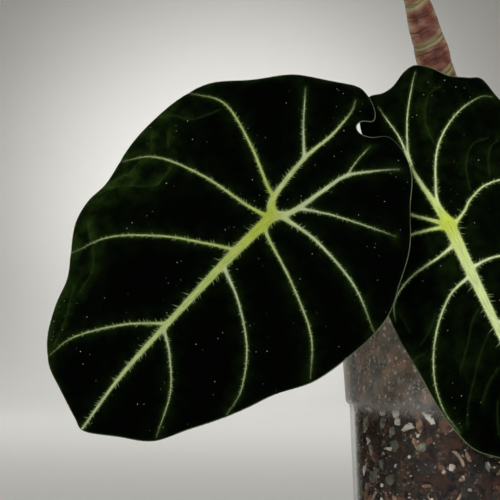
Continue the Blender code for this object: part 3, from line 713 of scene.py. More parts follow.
# The crumbs of the mix: material, colour stops, roughness, scale of the grain and millimetres of its pits.
CRUMBS = {
    # Fines of coir and bark: dark, matt and damp, with tan fibres in them; grit shows from 0.5 mm.
    "body": (
        "coir_and_bark_fines", ((0.15, "#15100d"), (0.5, "#2e241e"), (0.75, "#4b3b30"), (1.0, "#8a735c")),
        0.95, 1100.0, 0.5,
    ),
    # Grit: sand, coir dust and crushed perlite, from dark brown to white.
    "grit": (
        "mixed_grit", ((0.1, "#241b16"), (0.5, "#5d4a3c"), (0.8, "#9a8670"), (1.0, "#d9cfbf")),
        0.9, 1500.0, 0.1,
    ),
    # Pine bark: red-brown plates with a dull, fibrous break.
    "bark": (
        "pine_bark", ((0.1, "#1c0f0b"), (0.45, "#41261d"), (0.75, "#523529"), (1.0, "#735848")),
        0.8, 420.0, 0.35,
    ),
    # Horticultural charcoal: black, with a faint shine on the break.
    "charcoal": ("charcoal", ((0.1, "#0b0a0a"), (0.6, "#1e1b1a"), (1.0, "#3d3835")), 0.65, 600.0, 0.25),
    # Pumice: grey-green volcanic foam, pitted at a third of a millimetre.
    "pumice": (
        "pumice", ((0.1, "#3a3b30"), (0.5, "#62665a"), (0.8, "#868a78"), (1.0, "#a9a995")),
        0.92, 900.0, 0.35,
    ),
    # Perlite: white expanded glass, crumbly, with warm stains.
    "perlite": (
        "perlite", ((0.0, "#a89c8c"), (0.35, "#d5cec2"), (0.7, "#ebe6dc"), (1.0, "#f2eee6")),
        0.9, 800.0, 0.25,
    ),
    # Coir and root crumbs: brown to pinkish tan.
    "fibre": (
        "coir_crumbs", ((0.1, "#2a1c15"), (0.5, "#563c2e"), (0.8, "#80604c"), (1.0, "#ab8f76")),
        0.9, 700.0, 0.3,
    ),
}


# ---------------------------------------------------------------- leaves

def leaf_axes(leaf):
    """The leaf's frame: its joint, and unit vectors along the midrib, across it and out of its face."""
    face = unit(np.array(leaf["face"]))
    tip = np.array(leaf["tip"])
    along = unit(tip - face * (tip @ face))
    return np.array(leaf["joint"]), along, np.cross(face, along), face


def blade_rise(leaf, along, across):
    """How far the blade falls back from its flat frame: domed both ways, and folded at the midrib."""
    soft = 8.0
    fold = np.where(across < 0, leaf["fold_minus"], leaf["fold_plus"])
    crease = np.hypot(across, soft) - soft
    return -(leaf["droop"] * along**2 + leaf["spread"] * across**2 + fold * crease)


def leaf_lines(leaf):
    """The closed outline and the veins, at the leaf's size."""
    size = np.array([leaf["scale"], leaf["scale"] * leaf["mirror"]])
    outline = curve_through(np.array(leaf["outline"]) * size, 6, closed=True)
    veins = []
    for base, end, hair, tone, points in leaf["veins"]:
        line = curve_through(np.array(points) * size, 7)
        veins.append((base * leaf["scale"], end * leaf["scale"], hair * leaf["scale"], tone, line))
    creases = [curve_through(np.array(points) * size, 6) for points in leaf["creases"]]
    return outline, veins, creases


def vein_fields(veins, points):
    """For each point: the gap to the nearest vein's edge, and that vein's run, side, hairs, tone and rib.

    A vein's half width falls from base to end as a power of the run, and flares where it leaves. The gaps are
    joined by a soft minimum, -k log(sum of exp(-gap / k)), which webs the forks.
    """
    web, flare_reach, hair_shift = 0.28, 2.6, 37.3
    rows = []
    for number, (base, end, hair, tone, line) in enumerate(veins):
        is_midrib = number == 0
        power, flare, paling = (1.15, 0.0, 0.9) if is_midrib else (0.8, 0.9, 0.5)
        far, run, side, _ = nearest_on(line, points)
        share = run / travelled(line)[-1]
        half = end + (base - end) * (1 - share) ** power + flare * base * np.exp(-run / flare_reach)
        fade = 1 - 0.75 * smooth_step(share, 0.72, 1.0) * (not is_midrib)
        hairs, yellow = hair * (1 - 0.5 * share), tone * (1 - paling * share)
        rows.append((far - half, run + hair_shift * number, side, hairs, yellow, half, far, fade))
    table = np.array(rows)
    nearest = table[:, 0].argmin(0)
    pick = np.arange(table.shape[2])
    low = table[:, 0].min(0)
    gap = low - web * np.log(np.exp(-(table[:, 0] - low) / web).sum(0))
    _, run, side, hair, tone, _, _, bold = table[nearest, :, pick].T
    two = np.partition(table[:, 0], 1, axis=0)
    rib = (0.85 * table[:, 5] * np.exp(-((table[:, 6] / (1.15 * table[:, 5])) ** 2))).max(0)
    tone = tone + 0.9 * np.exp(-np.linalg.norm(points, axis=1) / 4.0)
    return {
        "gap": gap, "run": run, "side": side, "hair": hair, "tone": tone, "bold": bold,
        "apart": two[1] - two[0], "rib": rib,
    }


def leaf_grid(leaf):
    """The blade's flat layer: an even grid whose points near the outline or a vein's middle move on to it.

    A cell whose corner lies outside keeps the half that faces in. Returned: the points, the triangles, the
    distances to the rim, the veins and the creases.
    """
    outline, veins, creases = leaf_lines(leaf)
    cell = leaf["cell"]
    low = outline.min(0) - 1.5 * cell
    counts = np.ceil((outline.max(0) + 1.5 * cell - low) / cell).astype(int) + 1
    first, second = np.meshgrid(np.arange(counts[0]), np.arange(counts[1]), indexing="ij")
    flat = np.stack([low[0] + cell * first.ravel(), low[1] + cell * second.ravel()], axis=1)
    loop = np.vstack([outline, outline[:1]])
    rim, _, _, foot = nearest_on(loop, flat)
    on_rim = rim < cell / 2
    usable = within(outline, flat) | on_rim
    flat[on_rim] = foot[on_rim]
    rim[on_rim] = 0.0
    on_vein = np.zeros(len(flat), bool)
    open_ones = np.flatnonzero(usable & ~on_rim)
    for line in [vein[4] for vein in veins] + creases:
        far, run, _, foot = nearest_on(line, flat[open_ones])
        close = (far < cell / 2) & (run > 0.01) & (run < travelled(line)[-1] - 0.01) & ~on_vein[open_ones]
        flat[open_ones[close]] = foot[close]
        on_vein[open_ones[close]] = True

    number = np.arange(len(flat)).reshape(counts)
    corner = [number[:-1, :-1], number[1:, :-1], number[1:, 1:], number[:-1, 1:]]
    c0, c1, c2, c3 = (part.ravel() for part in corner)
    special = on_rim | on_vein
    even = ((first + second)[:-1, :-1].ravel() % 2) == 0
    first_pair, second_pair = special[c0] & special[c2], special[c1] & special[c3]
    other = np.where(first_pair ^ second_pair, second_pair, even)
    other = np.where(usable[c0] & usable[c2] & ~(usable[c1] & usable[c3]), False, other)
    other = np.where(usable[c1] & usable[c3] & ~(usable[c0] & usable[c2]), True, other)
    straight = np.vstack([np.stack([c0, c1, c2], 1)[~other], np.stack([c0, c2, c3], 1)[~other]])
    crossed = np.vstack([np.stack([c0, c1, c3], 1)[other], np.stack([c1, c2, c3], 1)[other]])
    triangles = np.vstack([straight, crossed])
    triangles = triangles[usable[triangles].all(1)]
    spans = flat[triangles]
    sides = spans[:, 1:] - spans[:, :1]
    area = sides[:, 0, 0] * sides[:, 1, 1] - sides[:, 0, 1] * sides[:, 1, 0]
    edge_only = on_rim[triangles].all(1)
    middle_in = np.ones(len(triangles), bool)
    middle_in[edge_only] = within(outline, spans[edge_only].mean(1)) & (area[edge_only] > 0.02 * cell * cell)
    triangles = triangles[middle_in]
    used, renamed = np.unique(triangles, return_inverse=True)
    return flat[used], renamed.reshape(-1, 3), rim[used], veins, creases


def add_leaf(name, leaf, look, material):
    """One blade: a top and an underside over the same flat grid, joined round the margin.

    The top is the frame's dome, quilted up between the veins, waved at the margin and lightly wrinkled. The
    underside lies one thickness below, with a round rib under each vein.
    """
    flat, triangles, rim, veins, creases = leaf_grid(leaf)
    field = vein_fields(veins, flat)
    along, across = flat.T
    size = leaf["scale"]
    inner = np.clip(field["gap"], 0, None)
    open_share = smooth_step(rim, 0.0, 5.0) * smooth_step(field["apart"], 0.0, 4.0)
    quilt = look.quilt * size * (1 - np.exp(-inner / 4.0)) * (0.4 + 0.6 * open_share)
    wave = look.margin_wave * size * waves(flat, 26 * size, 11) * np.exp(-rim / 7.0)
    crease_rows = [nearest_on(line, flat) for line in creases]
    crease_far = np.min([row[0] for row in crease_rows], axis=0)
    crease = np.exp(-((crease_far / 0.20) ** 2)) * smooth_step(inner, 0.1, 1.0)
    # Painted light: beside each crease the blade is made greener, mostly on one side, as if the fold caught
    # the light there.
    beside = [(0.35 + 0.65 * np.clip(row[2], 0, 1)) * np.exp(-row[0] / 1.5) for row in crease_rows]
    lit_fold = np.max(beside, axis=0) * smooth_step(inner, 0.1, 1.5)
    wrinkle = look.wrinkle * size * waves(flat * [1.0, 0.45], 3.0 * size, 12) * open_share
    sink = 0.15 * size * np.exp(-((inner / 0.8) ** 2)) + 0.22 * size * crease
    sink -= 0.35 * np.clip(-field["gap"], 0, 1.2)
    rise = blade_rise(leaf, along, across) + quilt + wave + wrinkle - sink
    rim_thickness, further_in = 0.32, 0.28
    thick = rim_thickness + further_in * (1 - np.exp(-rim / 1.5))
    rib = field["rib"] * (0.35 + 0.65 * smooth_step(rim, 0.0, 4.0))

    joint, way, over, face = leaf_axes(leaf)
    place = joint + along[:, None] * way + across[:, None] * over
    top = place + rise[:, None] * face
    under = place + (rise - thick - rib)[:, None] * face

    # Green beside the veins is the blade's own colour, and it also lies in patches that fade towards the tip.
    # Near the margin, mostly on one side of the midrib, the green is painted sheen; beside the creases it is
    # painted light.
    from_midrib = -across * leaf["mirror"] / size
    lit_side = smooth_step(from_midrib, 14.0, 38.0) * smooth_step(along / size, -16.0, 6.0)
    clouds = smooth_step(waves(flat, 24, 21), -0.2, 0.9)
    upper = 0.2 + 0.8 * smooth_step(from_midrib, 0.0, 20.0)
    # Painted sheen: green along the margin, strongest on one side of the midrib, in place of the velvet's
    # sheen where the blade turns away.
    painted_sheen = lit_side * np.exp(-rim / 9.0) * (0.5 + 0.5 * clouds) + 0.9 * upper * np.exp(-rim / 0.8)
    before_tip = 1 - smooth_step(along / size, 30.0, 52.0)
    moss_all = leaf["moss_all"] * (0.25 + 0.75 * clouds) * smooth_step(inner, 0.3, 3.0) * before_tip
    near_vein = 0.26 * np.exp(-inner / 0.9) + 0.08 * np.exp(-inner / 3.2)
    # The blade's own green beside the veins, joined here by the painted sheen and the painted light beside
    # the creases.
    glow = near_vein + leaf["painted_sheen"] * painted_sheen + moss_all + lit_fold * (0.55 * lit_side + 0.9 * leaf["moss_all"])
    field.update(crease=crease, rim=rim, glow=glow)

    count = len(flat)
    edges = np.vstack([triangles[:, [0, 1]], triangles[:, [1, 2]], triangles[:, [2, 0]]])
    forward, backward = edges[:, 0] * count + edges[:, 1], edges[:, 1] * count + edges[:, 0]
    start, stop = edges[~np.isin(forward, backward)].T
    wall = np.stack([stop, start, start + count, stop + count], axis=1)
    kept = ("gap", "run", "side", "hair", "tone", "bold", "crease", "rim", "glow")
    both = {key: np.tile(field[key], 2) for key in kept}
    # Painted light: the leaf's own factor that brightens its pale parts.
    both["lift"] = np.full(2 * count, leaf["lift"])
    both["under"] = np.repeat([0.0, 1.0], count)
    both["flat"] = np.tile(np.column_stack([flat + 100 * leaf["phase"], np.zeros(count)]), (2, 1))
    faces = (np.vstack([triangles, triangles[:, ::-1] + count]), wall)
    piece = put_mesh(f"blade_{name}", np.vstack([top, under]), faces, material, both)
    hand_in(piece, "leaf_blade", f"leaf_{name}")


# ---------------------------------------------------------------- stalks, stem and roots

def petiole_line(name):
    """The stalk's middle line, out of the stem and square on to the blade's back, and its level way out."""
    height, way_out, passing, radius = PETIOLES[name]
    joint, _, _, face = leaf_axes(LEAVES[name])
    on_stem = STEM_FOOT + STEM_AXIS * ((height - STEM_FOOT[2]) / math.cos(STEM_LEAN))
    level = unit(np.array([way_out[0], way_out[1], 0.0]))
    first = on_stem + level * (STEM_RADIUS + 0.35 + 1.25 * radius)
    second = first + unit(np.array(way_out)) * 7
    given = [first, second, *passing, joint - 8 * face, joint - 0.7 * radius * face]
    return even_line(curve_through(given, 10), 90), level


def add_petiole(name, material):
    """A round stalk that swells into a clasping foot against the stem, and a little under the blade."""
    line, level = petiole_line(name)
    radius = PETIOLES[name][3]
    inward = line[0] - level * (1.25 * radius + 1.6)
    line = np.vstack([even_line(np.array([inward - [0, 0, 2.5], line[0]]), 7)[:-1], line])
    run = travelled(line)
    share = run / run[-1]
    foot = np.exp(-run / 5.0)
    radii = radius * (0.92 - 0.10 * share + 0.55 * foot + 0.22 * np.exp(-(run[-1] - run) / 2.5))
    points, faces, straight = tube_mesh(line, radii, 40)
    attributes = {"flat": straight, "foot": np.append(np.repeat(foot, 40), [1.0, 0.0])}
    piece = put_mesh(f"stalk_{name}", points, faces, material, attributes)
    hand_in(piece, "petiole", f"petiole_{name}")


def add_spear(material):
    """The new leaf, still rolled: a spindle whose edge winds round it once as a step in its radius."""
    profile = curve_through(SPEAR_PROFILE, 12)
    heights, radii = profile.T
    lean = STEM_LEAN + (math.radians(6) - STEM_LEAN) * np.clip(heights / 30, 0, 1)
    steps = np.diff(heights, prepend=heights[0])
    foot = STEM_FOOT + STEM_AXIS * (STEM_HEIGHT - 1.0)
    ways = np.stack([-np.sin(lean), 0 * lean, np.cos(lean)], axis=1)
    line = foot + np.cumsum(steps[:, None] * ways, axis=0)
    around = 64
    angle = np.arange(around)[None, :] / around
    turned = (angle + heights[:, None] / 75) % 1.0
    step = 0.30 * (turned - 0.5) + 0.18 * np.exp(-(((turned - 0.94) / 0.04) ** 2))
    fade = np.clip(radii / radii.max(), 0, 1)[:, None]
    points, faces, straight = tube_mesh(line, radii[:, None] * (1 + 0.55 * step * fade), around)
    foot_glow = np.append(np.repeat(0.8 * np.exp(-heights / 9), around), [0.8, 0.0])
    piece = put_mesh("rolled_new_leaf", points, faces, material, {"flat": straight, "foot": foot_glow})
    hand_in(piece, "petiole", "new_leaf_spear")


def add_stem(material):
    """The stem: an upright tube whose skin steps in at each leaf scar and is creased between them.

    A ring is a tilted plane: its height is its own, less a sag that is deepest in front, plus a rise to the
    right. The radius swells between two scars and dips in a narrow notch at the scar.
    """
    around, rows = 128, 720
    scar_width, band_width, crease_width, crease_gap = 0.33, 1.25, 0.19, 2.3
    along = np.linspace(-6.0, STEM_HEIGHT, rows)
    angle = 2 * np.pi * np.arange(around) / around
    taper = smooth_step(along, 88, 110)
    plain = STEM_RADIUS + (STEM_TOP_RADIUS - STEM_RADIUS) * taper
    line = STEM_FOOT + STEM_AXIS * along[:, None]
    ahead = STEM_AXIS
    guide = np.array([0.31, 0.94, 0.12])
    side = unit(guide - ahead * (ahead @ guide))
    up = np.cross(ahead, side)
    outward = np.cos(angle)[:, None] * side + np.sin(angle)[:, None] * up
    front, right = -outward[:, 1], outward @ STEM_SIDE
    dice = np.random.default_rng(5)

    run = along[:, None] + 0 * angle[None]
    spacing = 11.7
    first = 1.1
    number = np.round((run - first) / spacing)
    sway = 0.25 * np.sin(2.1 * number)
    tilt = (-2.7 + 0.5 * np.sin(1.7 * number)) * front + (1.5 + sway) * right
    from_scar = run - (first + spacing * number + 0.8 * np.sin(3.7 * number) + tilt)
    scar = np.exp(-((from_scar / scar_width) ** 2))
    band = np.exp(-((from_scar / band_width) ** 2)) * 0.75
    bulge = -0.12 * np.cos(2 * np.pi * from_scar / spacing)

    crease = np.zeros_like(run)
    for level in np.arange(-4.0, STEM_HEIGHT, crease_gap):
        tilt = dice.uniform(-2.8, -1.6) * front + dice.uniform(0.6, 1.7) * right
        reach = 0.6 + 0.4 * smooth_step(np.cos(angle - dice.uniform(0, 2 * np.pi)), -0.9, 0.0)
        wander = 0.3 * np.sin(2 * angle + dice.uniform(0, 6)) + 0.12 * np.sin(5 * angle + dice.uniform(0, 6))
        off = run - (level + dice.uniform(-0.6, 0.6) + tilt + wander)
        crease = np.maximum(crease, reach * np.exp(-((off / crease_width) ** 2)) * dice.uniform(0.6, 1.0))
    spots = np.stack([np.cos(angle) * 5 + 0 * run, np.sin(angle) * 5 + 0 * run, run], axis=2).reshape(-1, 3)
    lumps = waves(spots, 3.6, 31).reshape(rows, around)
    fine = waves(spots, 1.3, 32).reshape(rows, around)
    radii = plain[:, None] + bulge - 0.20 * scar - 0.15 * crease + 0.04 * lumps + 0.015 * fine
    points, faces, straight = tube_mesh(line, radii, around)
    # Painted light: paler on both flanks, darker on the side facing -Y.
    flank = np.clip(np.abs(right) ** 1.5 * 0.8 - 0.25 * np.clip(front, 0, 1), 0, 1)[None] + 0 * run
    fields = {"scar": 0.85 * scar, "crease": crease * (1 - scar), "band": band, "flank": flank}
    attributes = {key: np.append(value.ravel(), [0.0, 0.0]) for key, value in fields.items()}
    piece = put_mesh("ringed_stem", points, faces, material, {"flat": straight, **attributes})
    hand_in(piece, "stem", "stem")


def wall_radius(height):
    """The pot's outer radius at a height: two straight slopes with a step at the ledge."""
    low = FOOT_RADIUS + (BODY_TOP_RADIUS - FOOT_RADIUS) * height / LEDGE_HEIGHT
    rise = (height - LEDGE_HEIGHT) / (POT_HEIGHT - LEDGE_HEIGHT)
    high = COLLAR_FOOT_RADIUS + (RIM_RADIUS - COLLAR_FOOT_RADIUS) * rise
    return np.where(height < LEDGE_HEIGHT, low, high)


def round_place(degrees, radius, height):
    """Points round the pot: 0 degrees is -Y, and 90 is +X."""
    angle = np.radians(degrees)
    return np.stack([radius * np.sin(angle), -radius * np.cos(angle), height + 0 * angle], axis=-1)


def pressed_in(points):
    """Points outside the wall's inner face, moved straight in to it, as pieces lie against the plastic."""
    step_down = 1.3
    limit = wall_radius(points[:, 2] - step_down) - WALL - 0.05
    share = np.minimum(1, limit / np.maximum(np.linalg.norm(points[:, :2], axis=1), 1))
    return points * np.stack([share, share, np.ones(len(points))], axis=1)


def add_root(name, material):
    """A thin wandering root, thicker where it starts, lying between the mix and the wall."""
    passing = np.array(ROOTS[name], float)
    depth, thickest = 0.95, 0.50
    radius = wall_radius(passing[:, 1]) - WALL - depth
    line = even_line(curve_through(round_place(passing[:, 0], radius, passing[:, 1]), 16), 120)
    inward = -line * [1, 1, 0] / np.linalg.norm(line[:, :2], axis=1)[:, None]
    line = line + inward * (0.25 + 0.25 * waves(line, 9, 41))[:, None]
    run = travelled(line)
    radii = thickest * (1 - 0.45 * run / run[-1]) * (1 + 0.12 * waves(line, 4, 42))
    points, faces, straight = tube_mesh(line, radii, 20)
    attributes = {"flat": straight, "shade": np.full(len(points), 0.5)}
    piece = put_mesh(f"tan_root_{name}", points, faces, material, attributes)
    hand_in(piece, "root", f"root_{name}")


# ---------------------------------------------------------------- pot and mix

def lathe(profile, around):
    """A profile turned round Z, with its first ring and its last one each closed by a cap.

    Returned: the points, the quads and the two caps. A shell's profile runs up inside and down outside.
    """
    angle = 2 * np.pi * np.arange(around) / around
    radius, height = profile[:, :1], profile[:, 1:]
    points = np.stack([radius * np.cos(angle), radius * np.sin(angle), height + 0 * angle], axis=2)
    ring = np.arange(around)[None]
    caps = ring[:, ::-1], (len(profile) - 1) * around + ring
    return points.reshape(-1, 3), (grid_faces(len(profile), around, True), *caps)


def pot_profile():
    """The wall's outline: from the floor's middle up inside, over the lip, and down to the base's middle."""
    edge, corner, lip_depth, slope = 0.6, 2.0, 2.6, 1.0
    foot, waist, collar, rim = FOOT_RADIUS, BODY_TOP_RADIUS, COLLAR_FOOT_RADIUS, RIM_RADIUS
    ledge, lip_foot = LEDGE_HEIGHT, POT_HEIGHT - lip_depth

    def outside(*heights):
        return [(float(wall_radius(height)), height) for height in heights]

    def inside(*heights):
        return [(radius - WALL, height) for radius, height in outside(*heights)]

    turn = np.linspace(0, np.pi, 9)
    lip_middle = rim + (LIP - WALL) / 2
    lip_radius = lip_middle - (LIP + WALL) / 2 * np.cos(turn)
    lip = np.stack([lip_radius, POT_HEIGHT - edge + edge * np.sin(turn)], axis=1)
    inner = [
        (0.01, FLOOR), (20, FLOOR), (foot - WALL - 3 * corner, FLOOR), (foot - WALL - corner, FLOOR + 0.15),
        (foot - WALL - 0.5, FLOOR + 0.9), *inside(4.0, 34.0, 60.0), (waist - WALL, ledge - 0.2),
        (waist - WALL + 0.35, ledge + 0.5), (collar - WALL - 0.2, ledge + 1.2),
        (collar - WALL + 0.06, ledge + 2.2), *inside(80.0, 92.0),
    ]
    outer = [
        (rim + LIP, lip_foot + 0.3), (rim + LIP - 0.3, lip_foot),
        (outside(lip_foot)[0][0] + 0.15, lip_foot - 0.1), (outside(lip_foot)[0][0], lip_foot - edge),
        *outside(80.0), (collar + 0.05, ledge + slope + 0.8), (collar - 0.1, ledge + slope),
        (waist + 0.25, ledge + 0.2), (waist, ledge - 0.4), *outside(34.0, corner),
        (foot - 0.2, 0.9), (foot - edge, 0.3), (foot - corner, 0.0), (20, 0.0), (0.01, 0.0),
    ]
    return np.vstack([inner, lip, outer])


def add_pot(material):
    """The clear pot: its wall's profile turned round Z as one closed shell."""
    points, faces = lathe(pot_profile(), 192)
    piece = put_mesh("clear_pot", points, faces, material, sharp_degrees=40)
    hand_in(piece, "clear_plastic", "pot")


def add_mix(material):
    """The body of the mix: a turned block just inside the pieces, its skin pushed in and out by noise and
    painted darker where it is pushed in, as painted shade.
    """
    heights = np.linspace(FLOOR + 0.6, MIX_TOP - 2.5, 120)
    radius = wall_radius(heights) - WALL - 0.8
    profile = np.vstack([
        [(0.01, heights[0])], np.stack([radius, heights], axis=1),
        np.stack([np.linspace(radius[-1] - 1.5, 0.01, 40), np.full(40, MIX_TOP - 1.4)], axis=1),
    ])
    points, faces = lathe(profile, 256)
    rough = 0.28 * waves(points, 6, 51) + 0.22 * waves(points, 2.4, 52)
    outward = points * [1, 1, 0] / np.maximum(np.linalg.norm(points[:, :2], axis=1), 1)[:, None]
    on_top = (points[:, 2] > MIX_TOP - 2.0)[:, None]
    points = pressed_in(points + np.where(on_top, [0, 0, 1], outward) * (rough - 0.4)[:, None])
    # Painted shade: the tone follows the same noise as the relief, darker where the skin is pushed in and
    # paler where it stands out.
    shade = 0.5 + 0.5 * np.clip(rough, -1, 1)
    piece = put_mesh("mix_body", points, faces, material, {"shade": shade})
    hand_in(piece, "mix", "mix")


def rock_shape(rounds):
    """An eight-sided double pyramid whose faces are split in four, so many times over, with its points on a
    ball. Once gives 18 points and 32 faces.
    """
    points = [sign * np.eye(3)[axis] for axis in range(3) for sign in (1, -1)]
    faces = [(0, 2, 4), (2, 1, 4), (1, 3, 4), (3, 0, 4), (2, 0, 5), (1, 2, 5), (3, 1, 5), (0, 3, 5)]
    for _ in range(rounds):
        halves = {}
        split = []
        for a, b, c in faces:
            middles = []
            for pair in ((a, b), (b, c), (c, a)):
                key = tuple(sorted(pair))
                if key not in halves:
                    halves[key] = len(points)
                    points.append(unit(points[key[0]] + points[key[1]]))
                middles.append(halves[key])
            ab, bc, ca = middles
            split += [(a, ab, ca), (ab, b, bc), (ca, bc, c), (ab, bc, ca)]
        faces = split
    return np.array(points), np.array(faces)


def rock_mesh(places, halves, turns, dice, rounds=1, cuts=4):
    """Many broken pieces as one mesh: the rock shape is cut flat by planes in random directions, each point
    moves in or out a little, then the piece is squashed to its half sizes, turned and placed.

    A cut holds a point's distance along the plane's direction to the plane's own, so the break is flat.
    """
    shape, faces = rock_shape(rounds)
    count = len(places)
    points = np.repeat((np.sign(shape) * np.abs(shape) ** 0.75)[None], count, axis=0)
    for _ in range(cuts):
        way = unit(dice.normal(size=(count, 1, 3)))
        plane = dice.uniform(0.35, 0.85, (count, 1, 1))
        over = np.clip((points * way).sum(2, keepdims=True) - plane, 0, None)
        points = points - over * way
    points = points * (1 + dice.uniform(-0.10, 0.10, (count, len(shape), 1)))
    points = points * halves[:, None]
    points = np.einsum("nij,nkj->nki", turns, points) + places[:, None]
    index = faces[None] + len(shape) * np.arange(count)[:, None, None]
    return points.reshape(-1, 3), index.reshape(-1, 3)


def turned_frames(degrees, tilt, lean):
    """Turns for pieces at the wall: X runs round the pot, Y outwards and Z up, tilted in the wall's plane and
    leant out of it.
    """
    angle = np.radians(degrees)
    zero = 0 * angle
    round_way = np.stack([np.cos(angle), np.sin(angle), zero], axis=1)
    outward = np.stack([np.sin(angle), -np.cos(angle), zero], axis=1)
    up = np.stack([zero, zero, zero + 1], axis=1)
    cosine, sine = np.cos(tilt)[:, None], np.sin(tilt)[:, None]
    first = cosine * round_way + sine * up
    third = -sine * round_way + cosine * up
    cosine, sine = np.cos(lean)[:, None], np.sin(lean)[:, None]
    second = cosine * outward + sine * third
    third = np.cross(first, second)
    return np.stack([first, second, third], axis=2)


def scattered_wall(look, dice):
    """Places for the pieces at the wall: rows of even spacing round the pot, each piece shifted at random."""
    degrees, heights = [], []
    for height in np.arange(3.5, MIX_TOP - 0.5, look.spacing * 0.92):
        count = int(2 * np.pi * float(wall_radius(height)) / look.spacing)
        shifts = dice.uniform(-JITTER, JITTER, count) + 0.5 * dice.uniform()
        degrees.append(360 * (np.arange(count) + shifts) / count)
        heights.append(height + look.spacing * dice.uniform(-JITTER, JITTER, count))
    return np.concatenate(degrees), np.clip(np.concatenate(heights), 3.0, MIX_TOP - 1.0)


def scattered_top(look, dice):
    """Places on top of the mix: a jittered square grid inside the pot's inner wall, clear of the stem."""
    step = look.spacing
    line = np.arange(-48, 48, step)
    grid = np.meshgrid(line, line)
    x, y = (part.ravel() + dice.uniform(-JITTER, JITTER, part.size) * step for part in grid)
    from_middle = np.hypot(x, y)
    from_stem = np.hypot(x - STEM_FOOT[0], y - STEM_FOOT[1])
    keep = (from_middle < float(wall_radius(MIX_TOP)) - WALL - 2.6) & (from_stem > STEM_RADIUS + 2.0)
    return x[keep], y[keep]


def strewn_halves(size, largest, dice, count):
    """Half sizes drawn round the kind's own: one lognormal factor for the piece and a small one each way."""
    factors = dice.lognormal(0.0, SIZE_SPREAD, (count, 1))
    halves = np.array(size) * factors * dice.uniform(0.75, 1.25, (count, 3))
    return np.minimum(halves, largest)


def add_pieces(look, materials):
    """All the pieces of the mix, joined by kind: the shown ones, the rest of the wall and the top."""
    dice = np.random.default_rng(look.seed)
    stock = {kind: [] for kind in KINDS}
    finer = {kind: [] for kind in KINDS}
    shown = np.array([piece[1:] for piece in SHOWN_PIECES], float)
    shown_half_depth, shown_depth, mm_per_degree, margin = 1.3, 1.1, 0.86, 0.9
    for kind in KINDS:
        rows = shown[[piece[0] == kind for piece in SHOWN_PIECES]]
        if len(rows):
            halves = np.stack([rows[:, 2], np.full(len(rows), shown_half_depth), rows[:, 3]], axis=1)
            radius = wall_radius(rows[:, 1]) - WALL - shown_depth
            turns = turned_frames(rows[:, 0], np.radians(rows[:, 4]), 0 * rows[:, 0])
            finer[kind].append((round_place(rows[:, 0], radius, rows[:, 1]), halves, turns))

    degrees, heights = scattered_wall(look, dice)
    apart = (degrees[:, None] - shown[:, 0] % 360) * mm_per_degree
    reach = np.hypot(apart, heights[:, None] - shown[:, 1])
    clear = (reach > np.maximum(shown[:, 2], shown[:, 3]) + margin).all(1)
    degrees, heights = degrees[clear], heights[clear]
    edges = np.cumsum([share for share, _ in KINDS.values()])
    chosen = np.searchsorted(edges / edges[-1], dice.uniform(size=len(degrees)))
    for index, (kind, (_, size)) in enumerate(KINDS.items()):
        mine = chosen == index
        count = int(mine.sum())
        halves = strewn_halves(np.array(size)[[0, 2, 1]], 4.2, dice, count)
        halves[:, 1] = np.minimum(halves[:, 1], 1.5)
        level = np.maximum(heights[mine], FLOOR + halves.max(1))
        depth = halves[:, 1] + 0.1 + 0.5 * dice.uniform(size=count) ** 1.5
        radius = wall_radius(level) - WALL - depth
        tilts = dice.uniform(-MOST_TURN, MOST_TURN, count)
        turns = turned_frames(degrees[mine], tilts, dice.uniform(-MOST_LEAN, MOST_LEAN, count))
        stock[kind].append((round_place(degrees[mine], radius, level), halves, turns))

    x, y = scattered_top(look, dice)
    chosen = np.searchsorted(edges / edges[-1], dice.uniform(size=len(x)))
    for index, (kind, (_, size)) in enumerate(KINDS.items()):
        mine = chosen == index
        count = int(mine.sum())
        halves = strewn_halves(size, 5.0, dice, count)
        lean = dice.uniform(-0.35, 0.35, (2, count))
        turns = turned_frames(dice.uniform(0, 360, count), *lean)
        level = MIX_TOP - 1.0 + halves[:, 2] * dice.uniform(-0.1, 0.8, count)
        stock[kind].append((np.stack([x[mine], y[mine], level], axis=1), halves, turns))

    for kind in KINDS:
        meshes = []
        for parts, rounds, cuts in ((stock[kind], 1, 4), (finer[kind], 3, 9)):
            if parts:
                places, halves, turns = (np.concatenate(column) for column in zip(*parts))
                points, faces = rock_mesh(places, halves, turns, dice, rounds, cuts)
                if rounds > 1:
                    jags = [waves(points, 1.6, 61 + axis) for axis in range(3)]
                    points = points + 0.22 * np.stack(jags, axis=1)
                points = pressed_in(points)
                low, high = (0.35, 0.75) if rounds > 1 else (0.05, 0.95)
                shade = np.repeat(dice.uniform(low, high, len(places)), len(points) // len(places))
                meshes.append((points, faces, shade))
        shift = np.cumsum([0] + [len(points) for points, _, _ in meshes])
        faces = np.vstack([mesh[1] + start for mesh, start in zip(meshes, shift)])
        points, shade = np.vstack([mesh[0] for mesh in meshes]), np.concatenate([mesh[2] for mesh in meshes])
        name, material = f"{kind}_pieces", materials[kind]
        piece = put_mesh(name, points, (faces,), material, {"shade": shade}, sharp_degrees=25)
        hand_in(piece, "mix" if kind == "fibre" else kind, *nodes_named(f"{kind}_wall", f"{kind}_top"))


